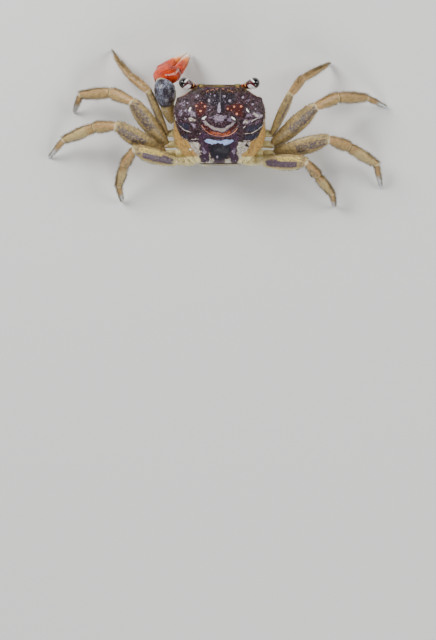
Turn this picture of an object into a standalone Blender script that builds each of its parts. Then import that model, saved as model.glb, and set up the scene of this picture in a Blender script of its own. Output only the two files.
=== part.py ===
"""Life-size still model of a neosarmatium crab with its right claw missing.

The crab faces -Y, +Z is up and its left side is +X. It stands on the tips of
its eight walking legs. Sizes below are in millimetres and become metres when
a mesh is made.
"""
import math

import bmesh
import bpy
import numpy as np

MM = 0.001

# Clearance between neighbouring plates
GAP = 0.3
# The carapace centre lies this far from the middle of the crab's whole plan
PLAN_SHIFT = (-0.42, -0.36, 0.0)

# Rear edge of the carapace
REAR_Y = 12.3
# Carapace, seen from above: (y, half width of the dorsal ridge)
RIDGE_HALF = [(-13.5, 6.2), (-13.2, 6.8), (-12.7, 7.4), (-11.0, 10.0), (-9.6, 12.3), (-9.0, 13.9),
              (-7.8, 14.2), (-5.4, 15.0), (-3.4, 15.1), (-0.8, 14.5), (1.8, 13.5), (4.6, 12.0),
              (9.0, 9.6), (REAR_Y, 7.6)]
# Widest line of the side wall and its lower edge
WALL_HALF = [(-9.0, 14.0), (-4.0, 14.4), (2.5, 15.1), (6.0, 14.2), (9.0, 12.1), (11.7, 9.4), (REAR_Y, 8.6)]
LOW_HALF = [(-9.0, 13.6), (-4.0, 13.1), (2.5, 13.8), (6.0, 12.9), (9.0, 11.0), (11.7, 8.6), (REAR_Y, 7.9)]
LOW_HEIGHT = [(-9.4, 20.2), (-9.0, 18.4), (-8.6, 15.6), (-8.0, 12.9), (-7.0, 10.9), (-5.5, 9.8), (-3.0, 9.4),
              (3.0, 10.2), (8.0, 11.4), (11.7, 12.9), (REAR_Y, 13.3)]
# Heights above the floor along the midline and along the dorsal ridge
MID_HEIGHT = [(-13.5, 18.9), (-13.35, 20.3), (-13.1, 21.5), (-12.7, 22.2), (-12.2, 22.4), (-11.2, 22.4),
              (-8.0, 23.1), (-3.0, 23.7), (3.0, 23.5), (8.0, 22.3), (10.7, 20.3), (12.0, 18.4),
              (REAR_Y, 17.2)]
RIDGE_HEIGHT = [(-13.5, 18.8), (-13.1, 19.7), (-12.4, 20.7), (-11.0, 21.2), (-9.0, 21.2), (-5.0, 21.2),
                (0.0, 20.6), (4.6, 19.4), (9.0, 17.6), (REAR_Y, 16.0)]
DORSAL_POWER = 2.4
# Lobes and dips of the back: (height, x, y, half width in x, half width in y)
DORSAL_LOBES = [(0.35, 0.0, -3.5, 3.4, 3.5), (0.3, 0.0, 7.0, 3.4, 2.2), (-0.35, 4.9, 7.0, 1.0, 3.0),
                (0.4, 9.5, -2.5, 3.0, 3.2), (-0.45, 0.0, -12.2, 0.9, 1.3), (0.35, 2.0, -11.7, 1.3, 0.7),
                (0.35, 4.9, -11.6, 1.3, 0.7), (-0.3, 4.2, -8.0, 1.2, 2.2), (0.3, 10.5, 3.0, 1.6, 2.6)]
ROOF_THICKNESS = 1.1

# Face: underside heights over the mouth field and over the swollen cheeks
MOUTH_HEIGHT = [(-13.5, 18.3), (-13.1, 18.0), (-12.4, 17.3), (-11.9, 16.2), (-11.5, 14.9), (-11.1, 14.2),
                (-10.8, 14.8), (-10.4, 16.2), (-9.6, 15.8), (-8.2, 14.2), (-6.6, 12.4), (-4.6, 10.2),
                (-3.6, 9.1), (-2.4, 8.8)]
CHEEK_HEIGHT = [(-13.5, 18.3), (-13.1, 18.1), (-12.4, 17.9), (-11.8, 17.6), (-11.2, 17.0), (-10.8, 15.6),
                (-10.2, 13.6), (-9.2, 11.6), (-8.0, 10.4), (-6.5, 9.7), (-4.5, 9.2), (-2.0, 8.9)]
MOUTH_HALF = [(-13.5, 5.5), (-11.2, 5.5), (-9.8, 6.6), (-4.0, 6.6), (-2.3, 6.2)]
MOUTH_EDGE = 0.5
CHEEK_ROUNDING = 3.6
# The folded antennules hang under the front: (height, x, y, half width in x, half width in y)
ANTENNULE_BULB = (-0.8, 3.3, -12.3, 1.3, 0.45)
ORBIT_INNER_X = 6.5
ORBIT_BACK_Y = -11.2
ORBIT_BACK_SLOPE = 0.27

# Sternum: (y, half width) and the heights of its two faces
STERNUM_FRONT_Y = -2.3
STERNUM_HALF = [(-2.3, 4.6), (-1.8, 6.4), (-1.0, 7.8), (0.5, 9.6), (2.0, 10.6), (4.0, 11.2), (7.0, 11.2),
                (9.0, 10.5), (11.0, 9.0), (12.0, 7.8)]
STERNUM_TOP = [(-2.3, 8.3), (3.0, 8.5), (8.0, 9.3), (10.0, 10.4), (12.0, 11.4)]
STERNUM_LOW = [(-2.3, 5.0), (-1.0, 4.7), (2.0, 4.5), (8.0, 4.5), (10.8, 5.2), (12.0, 6.3)]
STERNUM_SIDE_RISE = 1.7
# Seams between the sternites, one in front of each pair of hips, and their depth
STERNUM_SEAMS = (0.4, 3.7, 7.2, 10.1)
SEAM_DEPTH = 0.35
SEAM_HALF_WIDTH = 0.3
PLEON_THICKNESS = 1.0

# Pleon from the telson's tip backwards: (y, half width)
PLEON_HALF = [(-1.2, 0.7), (-0.8, 1.35), (0.4, 1.85), (2.4, 1.95), (4.2, 1.95), (4.5, 2.35), (8.0, 3.4),
              (12.0, 4.4)]
TELSON_TIP_Y = -1.2
TELSON_ROOT_Y = 4.2
PLEON_TURN_Y = 11.6
# The pleon where it turns up behind the body: (outer y, outer z, inner y, inner z, half width)
PLEON_REAR_LOW = [(11.9, 6.1, 11.9, 7.1, 4.4), (12.5, 6.7, 12.2, 7.45, 4.4), (12.95, 7.4, 12.4, 7.9, 4.5),
                  (13.2, 8.2, 12.6, 8.3, 4.6), (13.1, 8.5, 12.6, 8.5, 4.8), (13.35, 9.3, 12.6, 9.3, 5.0),
                  (13.35, 10.4, 12.6, 10.4, 5.3), (13.2, 10.7, 12.6, 10.7, 5.5),
                  (13.42, 11.4, 12.6, 11.4, 5.7),
                  (13.42, 12.9, 12.6, 12.9, 6.0), (13.25, 13.2, 12.6, 13.2, 6.1)]
PLEON_REAR_HIGH = [(13.25, 13.5, 12.6, 13.5, 6.3), (13.42, 13.8, 12.6, 13.8, 6.5),
                   (13.42, 14.5, 12.6, 14.5, 6.7), (13.2, 14.8, 12.6, 14.8, 6.8),
                   (13.4, 15.1, 12.6, 15.1, 6.9), (13.3, 15.8, 12.6, 15.8, 7.0)]
PLEON_WRAP = 0.7

# Walking legs: lengths of merus, carpus, propodus and dactylus for pairs 1 to 4
SEGMENT_LENGTHS = {1: (17.2, 8.4, 9.4, 7.6), 2: (20.0, 8.8, 11.8, 9.2),
                   3: (19.3, 8.4, 12.4, 9.8), 4: (15.0, 6.8, 8.8, 8.0)}
MERUS_WIDTH = {1: 5.4, 2: 6.2, 3: 6.2, 4: 5.7}
# Where each hip leaves the sternum (y, z) and where the merus starts (x, y, z), for the left side
HIP_START = {1: (1.9, 6.5), 2: (5.4, 6.8), 3: (8.8, 7.2), 4: (11.2, 9.6)}
MERUS_START = {1: (17.5, 2.3, 8.0), 2: (17.6, 6.0, 8.3), 3: (18.2, 8.9, 9.6), 4: (14.1, 11.7, 10.9)}
# Heading from straight ahead and slope, in degrees, of merus, carpus and propodus, the heading
# of the dactylus, and how steeply the merus's crest is turned up
LEG_POSES = {
    "left_1": ((23, 29), (50, -25), (40, -49), 30, 76),
    "left_2": ((39, 27), (66, -29), (93, -32), 158, 28),
    "left_3": ((61, 20), (93, -31), (111, -28), 139, 28),
    "left_4": ((75, 15), (146, -28), (165, -38), 192, 28),
    "right_1": ((25, 35.5), (37, -38), (60, -40), 60, 65),
    "right_2": ((49, 21), (66, -23), (90, -34), 114, 28),
    "right_3": ((76, 19), (109, -31), (121, -30), 168, 28),
    "right_4": ((91, 15), (139, -30), (141, -31), 166, 28),
}

# Outline of each leg segment: (share of length, half to the crest, half to the lower edge,
# half thickness), as shares of the segment's own width
HIP_OUTLINE = [(0.0, 0.46, 0.46, 0.36), (0.3, 0.55, 0.55, 0.42), (0.55, 0.44, 0.44, 0.33),
               (0.75, 0.5, 0.5, 0.34), (1.0, 0.42, 0.42, 0.28)]
MERUS_OUTLINE = [(0.0, 0.27, 0.27, 0.15), (0.12, 0.33, 0.36, 0.18), (0.35, 0.44, 0.48, 0.21),
                 (0.6, 0.49, 0.5, 0.23), (0.82, 0.44, 0.4, 0.23), (0.93, 0.38, 0.3, 0.22),
                 (1.0, 0.28, 0.24, 0.2)]
CARPUS_OUTLINE = [(0.0, 0.36, 0.3, 0.34), (0.2, 0.44, 0.36, 0.4), (0.5, 0.52, 0.46, 0.42),
                  (0.8, 0.56, 0.5, 0.42), (0.93, 0.5, 0.46, 0.4), (1.0, 0.42, 0.4, 0.36)]
PROPODUS_OUTLINE = [(0.0, 0.4, 0.4, 0.34), (0.15, 0.48, 0.46, 0.36), (0.45, 0.48, 0.46, 0.36),
                    (0.75, 0.38, 0.36, 0.3), (0.93, 0.32, 0.3, 0.26), (1.0, 0.26, 0.26, 0.22)]
DACTYLUS_OUTLINE = [(0.0, 0.44, 0.44, 0.42), (0.12, 0.5, 0.5, 0.46), (0.4, 0.42, 0.42, 0.4),
                    (0.7, 0.28, 0.28, 0.28), (0.88, 0.19, 0.19, 0.19), (1.0, 0.14, 0.14, 0.14)]
# Tooth near the end of each merus's crest: share of length, depth of its root, length and radius
MERUS_TOOTH = (0.86, 0.3, 1.6, 0.55)
HIP_WIDTH = {1: 3.7, 2: 3.7, 3: 3.6, 4: 3.5}
CARPUS_WIDTH = {1: 3.4, 2: 3.7, 3: 3.7, 4: 3.1}
PROPODUS_WIDTH = {1: 3.2, 2: 3.7, 3: 3.7, 4: 3.0}
DACTYLUS_WIDTH = 1.7
LEG_SIDES = 10

# Left cheliped: the joints from the hip to the finger tips
CHELA_HIP_Y = -0.9
CHELA_HIP_Z = 6.25
CHELA_ELBOW = (15.4, -2.9, 7.2)
CHELA_KNEE = (17.6, -7.2, 15.2)
CHELA_WRIST = (18.9, -14.5, 16.2)
CHELA_LENGTH = 20.5
CHELA_AXIS = (-0.44, -0.50, -0.745)
CHELA_CREST = (-0.86, 0.0, 0.51)
CHELA_HIP_OUTLINE = [(0.0, 0.5, 0.5, 0.44), (0.25, 0.54, 0.54, 0.46), (0.5, 0.48, 0.48, 0.4),
                     (0.75, 0.5, 0.5, 0.42), (1.0, 0.42, 0.42, 0.36)]
CHELA_MERUS_OUTLINE = [(0.0, 0.36, 0.36, 0.36), (0.2, 0.5, 0.5, 0.42), (0.55, 0.56, 0.56, 0.42),
                       (0.85, 0.52, 0.52, 0.4), (1.0, 0.4, 0.4, 0.34)]
CHELA_CARPUS_OUTLINE = [(0.0, 0.3, 0.3, 0.28), (0.16, 0.44, 0.42, 0.42), (0.4, 0.5, 0.46, 0.5),
                        (0.65, 0.5, 0.46, 0.5), (0.86, 0.42, 0.4, 0.42), (1.0, 0.28, 0.28, 0.28)]
CHELA_HIP_BOW = np.array((0.0, -1.3, -0.1))
CHELA_CARPUS_BOW = np.array((-0.5, 0.0, 1.5))
CHELA_HIP_WIDTH = 3.8
CHELA_MERUS_WIDTH = 4.7
CHELA_CARPUS_WIDTH = 6.9
# Edges of the claw: (share of length, edge on the dactylus side, outer edge, half thickness)
PALM_EDGES = [(0.0, 1.7, -2.2, 1.6), (0.06, 2.6, -3.4, 2.0), (0.15, 4.0, -4.9, 2.8), (0.24, 4.4, -5.4, 3.0),
              (0.31, 4.0, -5.5, 3.0), (0.325, 0.0, -5.5, 2.9), (0.45, -0.5, -5.0, 2.5),
              (0.6, -0.7, -4.2, 2.0), (0.75, -0.7, -3.1, 1.5), (0.88, -0.6, -2.1, 1.0),
              (1.0, -0.5, -1.1, 0.35)]
FINGER_EDGES = [(0.345, 3.7, 0.7, 1.8), (0.42, 3.8, 0.6, 1.9), (0.55, 3.4, 0.3, 1.7), (0.7, 2.7, 0.1, 1.4),
                (0.85, 1.8, -0.1, 1.0), (0.985, 0.5, -0.1, 0.35)]
CLAW_SIDES = 12
PALM_TEETH = (0.42, 0.5, 0.58, 0.67, 0.76)
FINGER_TEETH = (0.46, 0.54, 0.62, 0.71)
FINGER_TUBERCLES = (0.42, 0.49, 0.56, 0.63, 0.7, 0.77)
STUMP_END = (-10.6, -4.3, 6.1)

# Eyes, antennae and mouthparts, for the left side
STALK_ROOT = (7.85, -12.75, 17.9)
STALK_WIDTH = 3.2
CORNEA_CENTRE = (11.45, -13.85, 21.9)
CORNEA_HALF = (1.75, 1.9, 2.75)
CORNEA_TILT = 14
ANTENNA_ROUTE = [(5.9, -12.6, 16.9), (7.2, -13.0, 16.7), (8.9, -12.8, 16.2), (10.4, -12.0, 15.9)]
ANTENNA_RADII = (0.75, 0.7, 0.34, 0.26)
MAXILLIPED_WIDTH = 4.1
MAXILLIPED_ISCHIUM = ((3.3, -2.9, 6.3), (3.85, -6.3, 9.9))
MAXILLIPED_MERUS = ((3.8, -6.1, 9.7), (3.75, -9.9, 13.7))
MAXILLIPED_PALP = [(3.4, -10.1, 13.5), (2.2, -10.3, 13.3), (1.4, -9.8, 12.2), (1.1, -8.8, 10.7)]
PALP_RADII = (0.5, 0.55, 0.45, 0.3)

COLOURS = {
    "carapace": ((0.10, 0.07, 0.10), 0.35),
    "sternum": ((0.62, 0.58, 0.48), 0.45),
    "pleon": ((0.50, 0.50, 0.50), 0.45),
    "leg": ((0.36, 0.25, 0.13), 0.5),
    "hip": ((0.60, 0.52, 0.34), 0.45),
    "foot": ((0.55, 0.48, 0.38), 0.4),
    "claw": ((0.80, 0.13, 0.03), 0.3),
    "cheliped": ((0.16, 0.13, 0.15), 0.4),
    "stalk": ((0.10, 0.02, 0.03), 0.3),
    "cornea": ((0.01, 0.01, 0.012), 0.08),
    "mouth": ((0.30, 0.27, 0.28), 0.4),
    "plug": ((0.60, 0.64, 0.62), 0.4),
}


def unit(vector):
    vector = np.asarray(vector, dtype=float)
    return vector / np.linalg.norm(vector)


def curve_through(knots):
    """A smooth function through (x, y) knots that never overshoots them."""
    xs, ys = (np.array(column, dtype=float) for column in zip(*knots))
    steps = np.diff(xs)
    rises = np.diff(ys) / steps
    slopes = np.zeros(len(xs))
    slopes[0], slopes[-1] = rises[0], rises[-1]
    for i in range(1, len(xs) - 1):
        if rises[i - 1] * rises[i] > 0:
            slopes[i] = 2 * rises[i - 1] * rises[i] / (rises[i - 1] + rises[i])

    def value(x):
        x = min(max(x, xs[0]), xs[-1])
        i = min(int(np.searchsorted(xs, x, side="right")) - 1, len(steps) - 1)
        t = (x - xs[i]) / steps[i]
        held = (2 * t**3 - 3 * t**2 + 1) * ys[i] + (3 * t**2 - 2 * t**3) * ys[i + 1]
        bent = (t**3 - 2 * t**2 + t) * slopes[i] + (t**3 - t**2) * slopes[i + 1]
        return float(held + bent * steps[i])
    return value


def soft_step(value, start, width):
    t = min(max((value - start) / width, 0.0), 1.0)
    return t * t * (3 - 2 * t)


ridge_half = curve_through(RIDGE_HALF)
wall_half = curve_through(WALL_HALF)
low_half = curve_through(LOW_HALF)
low_height = curve_through(LOW_HEIGHT)
mid_height = curve_through(MID_HEIGHT)
ridge_height = curve_through(RIDGE_HEIGHT)
mouth_height = curve_through(MOUTH_HEIGHT)
mouth_half = curve_through(MOUTH_HALF)
cheek_height = curve_through(CHEEK_HEIGHT)
sternum_half = curve_through(STERNUM_HALF)
sternum_top = curve_through(STERNUM_TOP)
sternum_low = curve_through(STERNUM_LOW)
pleon_half = curve_through(PLEON_HALF)


# Meshes and materials


def clear_scene():
    for item in list(bpy.data.objects):
        bpy.data.objects.remove(item, do_unlink=True)


def material(kind):
    name = f"{kind}_shell"
    found = bpy.data.materials.get(name)
    if found:
        return found
    colour, roughness = COLOURS[kind]
    made = bpy.data.materials.new(name)
    made.use_nodes = True
    shader = made.node_tree.nodes["Principled BSDF"]
    shader.inputs["Base Color"].default_value = (*colour, 1.0)
    shader.inputs["Roughness"].default_value = roughness
    shader.inputs["Metallic"].default_value = 0.0
    return made


def add_object(name, points, faces):
    """A closed mesh object from points in millimetres."""
    mesh = bpy.data.meshes.new(name)
    mesh.from_pydata([tuple(float(c) * MM for c in point) for point in points], [], faces)
    shape = bmesh.new()
    shape.from_mesh(mesh)
    bmesh.ops.triangulate(shape, faces=shape.faces[:])
    bmesh.ops.recalc_face_normals(shape, faces=shape.faces[:])
    shape.to_mesh(mesh)
    shape.free()
    made = bpy.data.objects.new(name, mesh)
    bpy.context.scene.collection.objects.link(made)
    return made


def loft(name, rings, tip=None):
    """Joins rings of equal count, closed by a flat face at each end or by a tip point."""
    count = len(rings[0])
    points = [point for ring in rings for point in ring]
    faces = [tuple(reversed(range(count)))]
    for k in range(len(rings) - 1):
        low, high = k * count, (k + 1) * count
        for i in range(count):
            j = (i + 1) % count
            faces.append((low + i, low + j, high + j, high + i))
    last = (len(rings) - 1) * count
    if tip is None:
        faces.append(tuple(range(last, last + count)))
    else:
        points.append(tip)
        faces.extend((last + i, last + (i + 1) % count, len(points) - 1) for i in range(count))
    return add_object(name, points, faces)


def keep_largest_surface(mesh):
    """A union may leave a loose scrap or a sealed hollow: only the main surface stays."""
    shape = bmesh.new()
    shape.from_mesh(mesh)
    unseen = set(shape.faces)
    islands = []
    while unseen:
        front = [unseen.pop()]
        island = list(front)
        while front:
            face = front.pop()
            for edge in face.edges:
                for other in edge.link_faces:
                    if other in unseen:
                        unseen.remove(other)
                        front.append(other)
                        island.append(other)
        islands.append(island)
    islands.sort(key=len, reverse=True)
    for island in islands[1:]:
        bmesh.ops.delete(shape, geom=island, context="FACES")
    bmesh.ops.triangulate(shape, faces=shape.faces[:])
    shape.to_mesh(mesh)
    shape.free()


def fuse(body, additions):
    """One closed solid from a body and the pieces rooted in it."""
    group = bpy.data.collections.new(f"{body.name}_additions")
    bpy.context.scene.collection.children.link(group)
    for piece in additions:
        bpy.context.scene.collection.objects.unlink(piece)
        group.objects.link(piece)
    union = body.modifiers.new("union", "BOOLEAN")
    union.operation = "UNION"
    union.operand_type = "COLLECTION"
    union.collection = group
    union.solver = "EXACT"
    bpy.context.view_layer.update()
    evaluated = body.evaluated_get(bpy.context.evaluated_depsgraph_get())
    fused = bpy.data.meshes.new_from_object(evaluated)
    body.modifiers.remove(union)
    body.data = fused
    for piece in additions:
        bpy.data.objects.remove(piece, do_unlink=True)
    bpy.data.collections.remove(group)
    keep_largest_surface(body.data)
    return body


def finish(made, kind):
    """Gives a node its material and places it under the crab's own origin."""
    made.data.materials.clear()
    made.data.materials.append(material(kind))
    made.data.shade_smooth()
    made.data.set_sharp_from_angle(angle=math.radians(40))
    made.parent = bpy.data.objects["crab_origin"]
    return made


# Limb segments


def frame_at(tangent, crest):
    crest = unit(crest - tangent * np.dot(crest, tangent))
    return crest, np.cross(tangent, crest)


def onto_plane(point, along, plane):
    if plane is None:
        return point
    origin, normal = plane
    return point + along * np.dot(np.asarray(origin) - point, normal) / np.dot(along, normal)


def limb_rings(start, end, crest, outline, width, sides, bow=(0, 0, 0), planes=(None, None)):
    """Oval rings from start to end; bow bends the centre line and planes mitre the two end faces."""
    start, end, bow = (np.array(v, dtype=float) for v in (start, end, bow))
    rings = []
    for k, (t, to_crest, to_low, thick) in enumerate(outline):
        centre = start + (end - start) * t + bow * 4 * t * (1 - t)
        tangent = unit(end - start + bow * 4 * (1 - 2 * t))
        broad, flat = frame_at(tangent, np.asarray(crest, dtype=float))
        plane = planes[0] if k == 0 else planes[1] if k == len(outline) - 1 else None
        ring = []
        for i in range(sides):
            angle = 2 * math.pi * (i + 0.5) / sides
            reach = to_crest if math.cos(angle) > 0 else to_low
            point = centre + (broad * reach * math.cos(angle) + flat * thick * math.sin(angle)) * width
            ring.append(onto_plane(point, tangent, plane))
        rings.append(ring)
    return rings


def spine(name, root, direction, length, radius, sides=5):
    """A small cone whose base is sunk into what it grows from."""
    direction = unit(direction)
    side, other = frame_at(direction, np.array((0.3, 0.5, 0.8)))
    root = np.asarray(root, dtype=float)
    return loft(name, [circle(root, side, other, radius, sides)], tip=root + direction * length)


def circle(centre, side, other, radius, sides):
    turns = [2 * math.pi * i / sides for i in range(sides)]
    return [centre + (side * math.cos(turn) + other * math.sin(turn)) * radius for turn in turns]


def tube(name, route, radii, sides):
    """A round stalk along a route of points, with a radius at each."""
    rings = []
    for k, (point, radius) in enumerate(zip(route, radii)):
        before, after = route[max(k - 1, 0)], route[min(k + 1, len(route) - 1)]
        broad, flat = frame_at(unit(after - before), np.array((0.0, 0.0, 1.0)))
        rings.append(circle(point, broad, flat, radius, sides))
    return loft(name, rings)


def heading_vector(side, heading, slope):
    heading, slope = math.radians(heading), math.radians(slope)
    return np.array((side * math.sin(heading) * math.cos(slope), -math.cos(heading) * math.cos(slope),
                     math.sin(slope)))


def crest_vector(side, heading, slope, roll):
    """Across a segment: forward of it, turned up by roll degrees."""
    along = heading_vector(side, heading, slope)
    forward = heading_vector(side, heading - 90, 0)
    upward = np.cross(forward, along) * side
    return forward * math.cos(math.radians(roll)) + upward * math.sin(math.radians(roll))


def mitre(point, before, after, sign):
    """The plane halfway round a bend, moved by half the clearance along or against the limb."""
    normal = unit(unit(before) + unit(after))
    return (np.asarray(point) + normal * GAP / 2 * sign, normal)


# Walking legs


def leg_joints(side_name, pair):
    """Joint points of one leg from the merus's base to the foot, with headings and slopes."""
    side = 1 if side_name == "left" else -1
    merus, carpus, propodus, foot_heading, roll = LEG_POSES[f"{side_name}_{pair}"]
    lengths = SEGMENT_LENGTHS[pair]
    x, y, z = MERUS_START[pair]
    joints = [np.array((side * x, y, z))]
    turns = [merus, carpus, propodus]
    for (heading, slope), length in zip(turns, lengths):
        joints.append(joints[-1] + heading_vector(side, heading, slope) * length)
    drop = math.degrees(math.asin(joints[-1][2] / lengths[3]))
    turns.append((foot_heading, -drop))
    joints.append(joints[-1] + heading_vector(side, foot_heading, -drop) * lengths[3])
    crests = [crest_vector(side, heading, slope, roll) for heading, slope in turns]
    return side, joints, turns, crests


def sternum_socket(side, y, z):
    """Centre and outward normal of a hip's seat on the side of the sternum."""
    step = 0.1
    lean = (sternum_half(y + step) - sternum_half(y - step)) / (2 * step)
    normal = unit((side, -lean, 0.0))
    return np.array((side * sternum_half(y), y, z)) + normal * GAP, normal


def build_leg(side_name, pair):
    side, joints, turns, crests = leg_joints(side_name, pair)
    seat, seat_normal = sternum_socket(side, *HIP_START[pair])
    directions = [unit(b - a) for a, b in zip(joints, joints[1:])]
    hip_along = unit(joints[0] - seat)
    name = f"leg_{side_name}_{pair}"

    hip_plane = mitre(joints[0], hip_along, directions[0], -1)
    rings = limb_rings(seat, joints[0], (0, 0, 1), HIP_OUTLINE, HIP_WIDTH[pair], LEG_SIDES,
                       planes=((seat, seat_normal), hip_plane))
    finish(loft(f"{name}_hip", rings), "hip")

    parts = (("merus", MERUS_OUTLINE, MERUS_WIDTH[pair]),
             ("carpus", CARPUS_OUTLINE, CARPUS_WIDTH[pair]),
             ("propodus", PROPODUS_OUTLINE, PROPODUS_WIDTH[pair]),
             ("dactylus", DACTYLUS_OUTLINE, DACTYLUS_WIDTH))
    for k, (part, outline, width) in enumerate(parts):
        before = hip_along if k == 0 else directions[k - 1]
        start_plane = mitre(joints[k], before, directions[k], 1)
        if part == "dactylus":
            end_plane = ((0.0, 0.0, 0.0), np.array((0.0, 0.0, 1.0)))
            bow = np.cross(directions[k], unit(np.cross((0, 0, 1), directions[k]))) * 0.5
        else:
            end_plane = mitre(joints[k + 1], directions[k], directions[k + 1], -1)
            bow = (0, 0, 0)
        rings = limb_rings(joints[k], joints[k + 1], crests[k], outline, width, LEG_SIDES, bow=bow,
                           planes=(start_plane, end_plane))
        segment = loft(f"{name}_{part}", rings)
        if part == "merus":
            place, reach, length, radius = MERUS_TOOTH
            root = joints[k] + directions[k] * SEGMENT_LENGTHS[pair][0] * place + crests[k] * width * reach
            fuse(segment, [spine(f"{name}_tooth", root, crests[k] + directions[k] * 0.9, length, radius)])
        finish(segment, "foot" if part == "dactylus" else "leg")


# Carapace


def swelling(x, y, height, centre_x, centre_y, half_x, half_y):
    """A smooth rise, or a dip when height is negative."""
    return height * math.exp(-(((x - centre_x) / half_x) ** 2 + ((y - centre_y) / half_y) ** 2))


def dorsal_relief(x, y):
    """Grooves and lobes of the dorsal surface, in millimetres above the plain vault."""
    x = abs(x)
    groove_y = 3.0 - 3.2 * (x / 6) ** 2
    relief = -0.5 * math.exp(-((y - groove_y) / 0.9) ** 2) * (1 - soft_step(x, 5.5, 2.0))
    for lobe in DORSAL_LOBES:
        relief += swelling(x, y, *lobe)
    return relief


def dorsal_height(x, y):
    share = min(abs(x) / ridge_half(y), 1.0)
    vault = ridge_height(y) + (mid_height(y) - ridge_height(y)) * (1 - share ** DORSAL_POWER)
    return vault + dorsal_relief(x, y) * (1 - share ** 6)


def wall_foot(y):
    """Half width and height of the lower edge of the side wall, or of the roof over the orbit."""
    free = 1 - soft_step(y, -9.5, 0.4)
    half = low_half(y) * (1 - free) + (ridge_half(y) - 0.15) * free
    height = low_height(y) * (1 - free) + (ridge_height(y) - ROOF_THICKNESS) * free
    return half, height


def under_height(x, y):
    """Underside of the carapace: orbits and face in front, a shallow vault over the sternum behind."""
    x = abs(x)
    half, edge_height = wall_foot(y)
    over_sternum = sternum_top(y) + 1.5 * GAP
    mouth = mouth_height(y) + swelling(x, y, *ANTENNULE_BULB) if y < STERNUM_FRONT_Y else over_sternum
    cheek = cheek_height(y) if y < STERNUM_FRONT_Y else over_sternum
    height = mouth + (cheek - mouth) * soft_step(x, mouth_half(y) - MOUTH_EDGE, MOUTH_EDGE)
    orbit_back = ORBIT_BACK_Y + (x - ORBIT_INNER_X) * ORBIT_BACK_SLOPE
    in_orbit = soft_step(x, ORBIT_INNER_X - 0.4, 0.8) * (1 - soft_step(y, orbit_back, 0.5))
    roof = dorsal_height(min(x, half), y) - ROOF_THICKNESS
    height = height + (roof - height) * in_orbit
    # The cheeks are rounded down to their outer edge, and the rim over the hips is a soft step
    front = 1 - soft_step(y, -6.5, 3.0)
    share = min(max((x - half) / CHEEK_ROUNDING + 1, 0.0), 1.0)
    rounded = 1 - math.sqrt(1 - share**2)
    rise = soft_step(x, half - 2.2, 2.2) * (1 - front) + rounded * front
    return height + (edge_height - height) * rise


def carapace_section(y, top_count=13, wall_count=4, under_count=5):
    ridge, wall = ridge_half(y), wall_half(y)
    foot, foot_height = wall_foot(y)
    bulge = max(wall - (ridge + foot) / 2, 0.0) * soft_step(y, -9.5, 1.0)
    right = []
    for i in range(top_count + 1):
        x = ridge * math.sin(math.pi / 2 * i / top_count)
        right.append((x, dorsal_height(x, y)))
    for i in range(1, wall_count + 1):
        v = i / (wall_count + 1)
        x = ridge + (foot - ridge) * v + bulge * 4 * v * (1 - v)
        right.append((x, right[top_count][1] + (foot_height - right[top_count][1]) * v))
    mouth = mouth_half(y)
    under = [0.0, 2.2, 3.9, mouth - MOUTH_EDGE, mouth]
    under += [mouth + (foot - mouth) * i / under_count for i in range(1, under_count + 1)]
    right += [(x, under_height(x, y)) for x in reversed(under)]
    left = [(-x, z) for x, z in reversed(right[1:-1])]
    return [np.array((x, y, z)) for x, z in right + left]


CARAPACE_STATIONS = (-13.5, -13.35, -13.1, -12.7, -12.2, -11.7, -11.3, -10.9, -10.5, -10.1, -9.6, -9.2,
                     -8.8, -8.3, -7.5, -6.5, -5.4, -4.2, -3.0, -1.8, -0.6, 0.2, 0.9, 1.6, 2.3, 3.0, 3.7, 4.6,
                     6.0, 7.4, 8.8, 10.2, 11.1, 11.8, REAR_Y)


def build_carapace():
    finish(loft("carapace", [carapace_section(y) for y in CARAPACE_STATIONS]), "carapace")


# Sternum and pleon


def groove_half(y):
    return pleon_half(y) + 1.5 * GAP if y > TELSON_TIP_Y else 0.6


def seam_dip(y):
    """How far the outer face of the sternum is sunk in at a seam."""
    return SEAM_DEPTH * max(math.exp(-((y - seam) / SEAM_HALF_WIDTH) ** 2) for seam in STERNUM_SEAMS)


def sternum_section(y):
    half, top, low = sternum_half(y), sternum_top(y), sternum_low(y)
    groove = groove_half(y)
    depth = PLEON_THICKNESS + 1.5 * GAP if y > TELSON_TIP_Y - 2 * GAP else 0.0
    swollen = low + seam_dip(y)
    middle = (half + groove) / 2 + 0.6
    right = [(0.0, top), (half * 0.55, top), (half - 0.5, top - 0.1), (half, top - 0.8),
             (half, low + STERNUM_SIDE_RISE + 0.5), (half - 0.6, swollen + STERNUM_SIDE_RISE * 0.75),
             (middle, swollen + STERNUM_SIDE_RISE * 0.3), (groove + 1.2, swollen + 0.05),
             (groove + 0.35, low), (groove, low + depth), (0.0, low + depth)]
    left = [(-x, z) for x, z in reversed(right[1:-1])]
    return [np.array((x, y, z)) for x, z in right + left]


def build_sternum():
    stations = [STERNUM_FRONT_Y, -1.8, -1.55, -1.0, -0.4, 2.0, 5.4, 8.7, 11.2, 12.0]
    for seam in STERNUM_SEAMS:
        stations += [seam - 2 * SEAM_HALF_WIDTH, seam, seam + 2 * SEAM_HALF_WIDTH]
    finish(loft("sternum", [sternum_section(y) for y in sorted(stations)]), "sternum")


def plate_section(y, half, crown):
    """A thin plate across the belly: outer face below, inner face above."""
    low = sternum_low(y)
    shares = (-1.0, -0.55, 0.0, 0.55, 1.0)
    outer = [(half * s, low - crown * (1 - s * s)) for s in shares]
    inner = [(half * s, low + PLEON_THICKNESS) for s in reversed(shares)]
    return [np.array((x, y, z)) for x, z in outer + inner]


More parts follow.
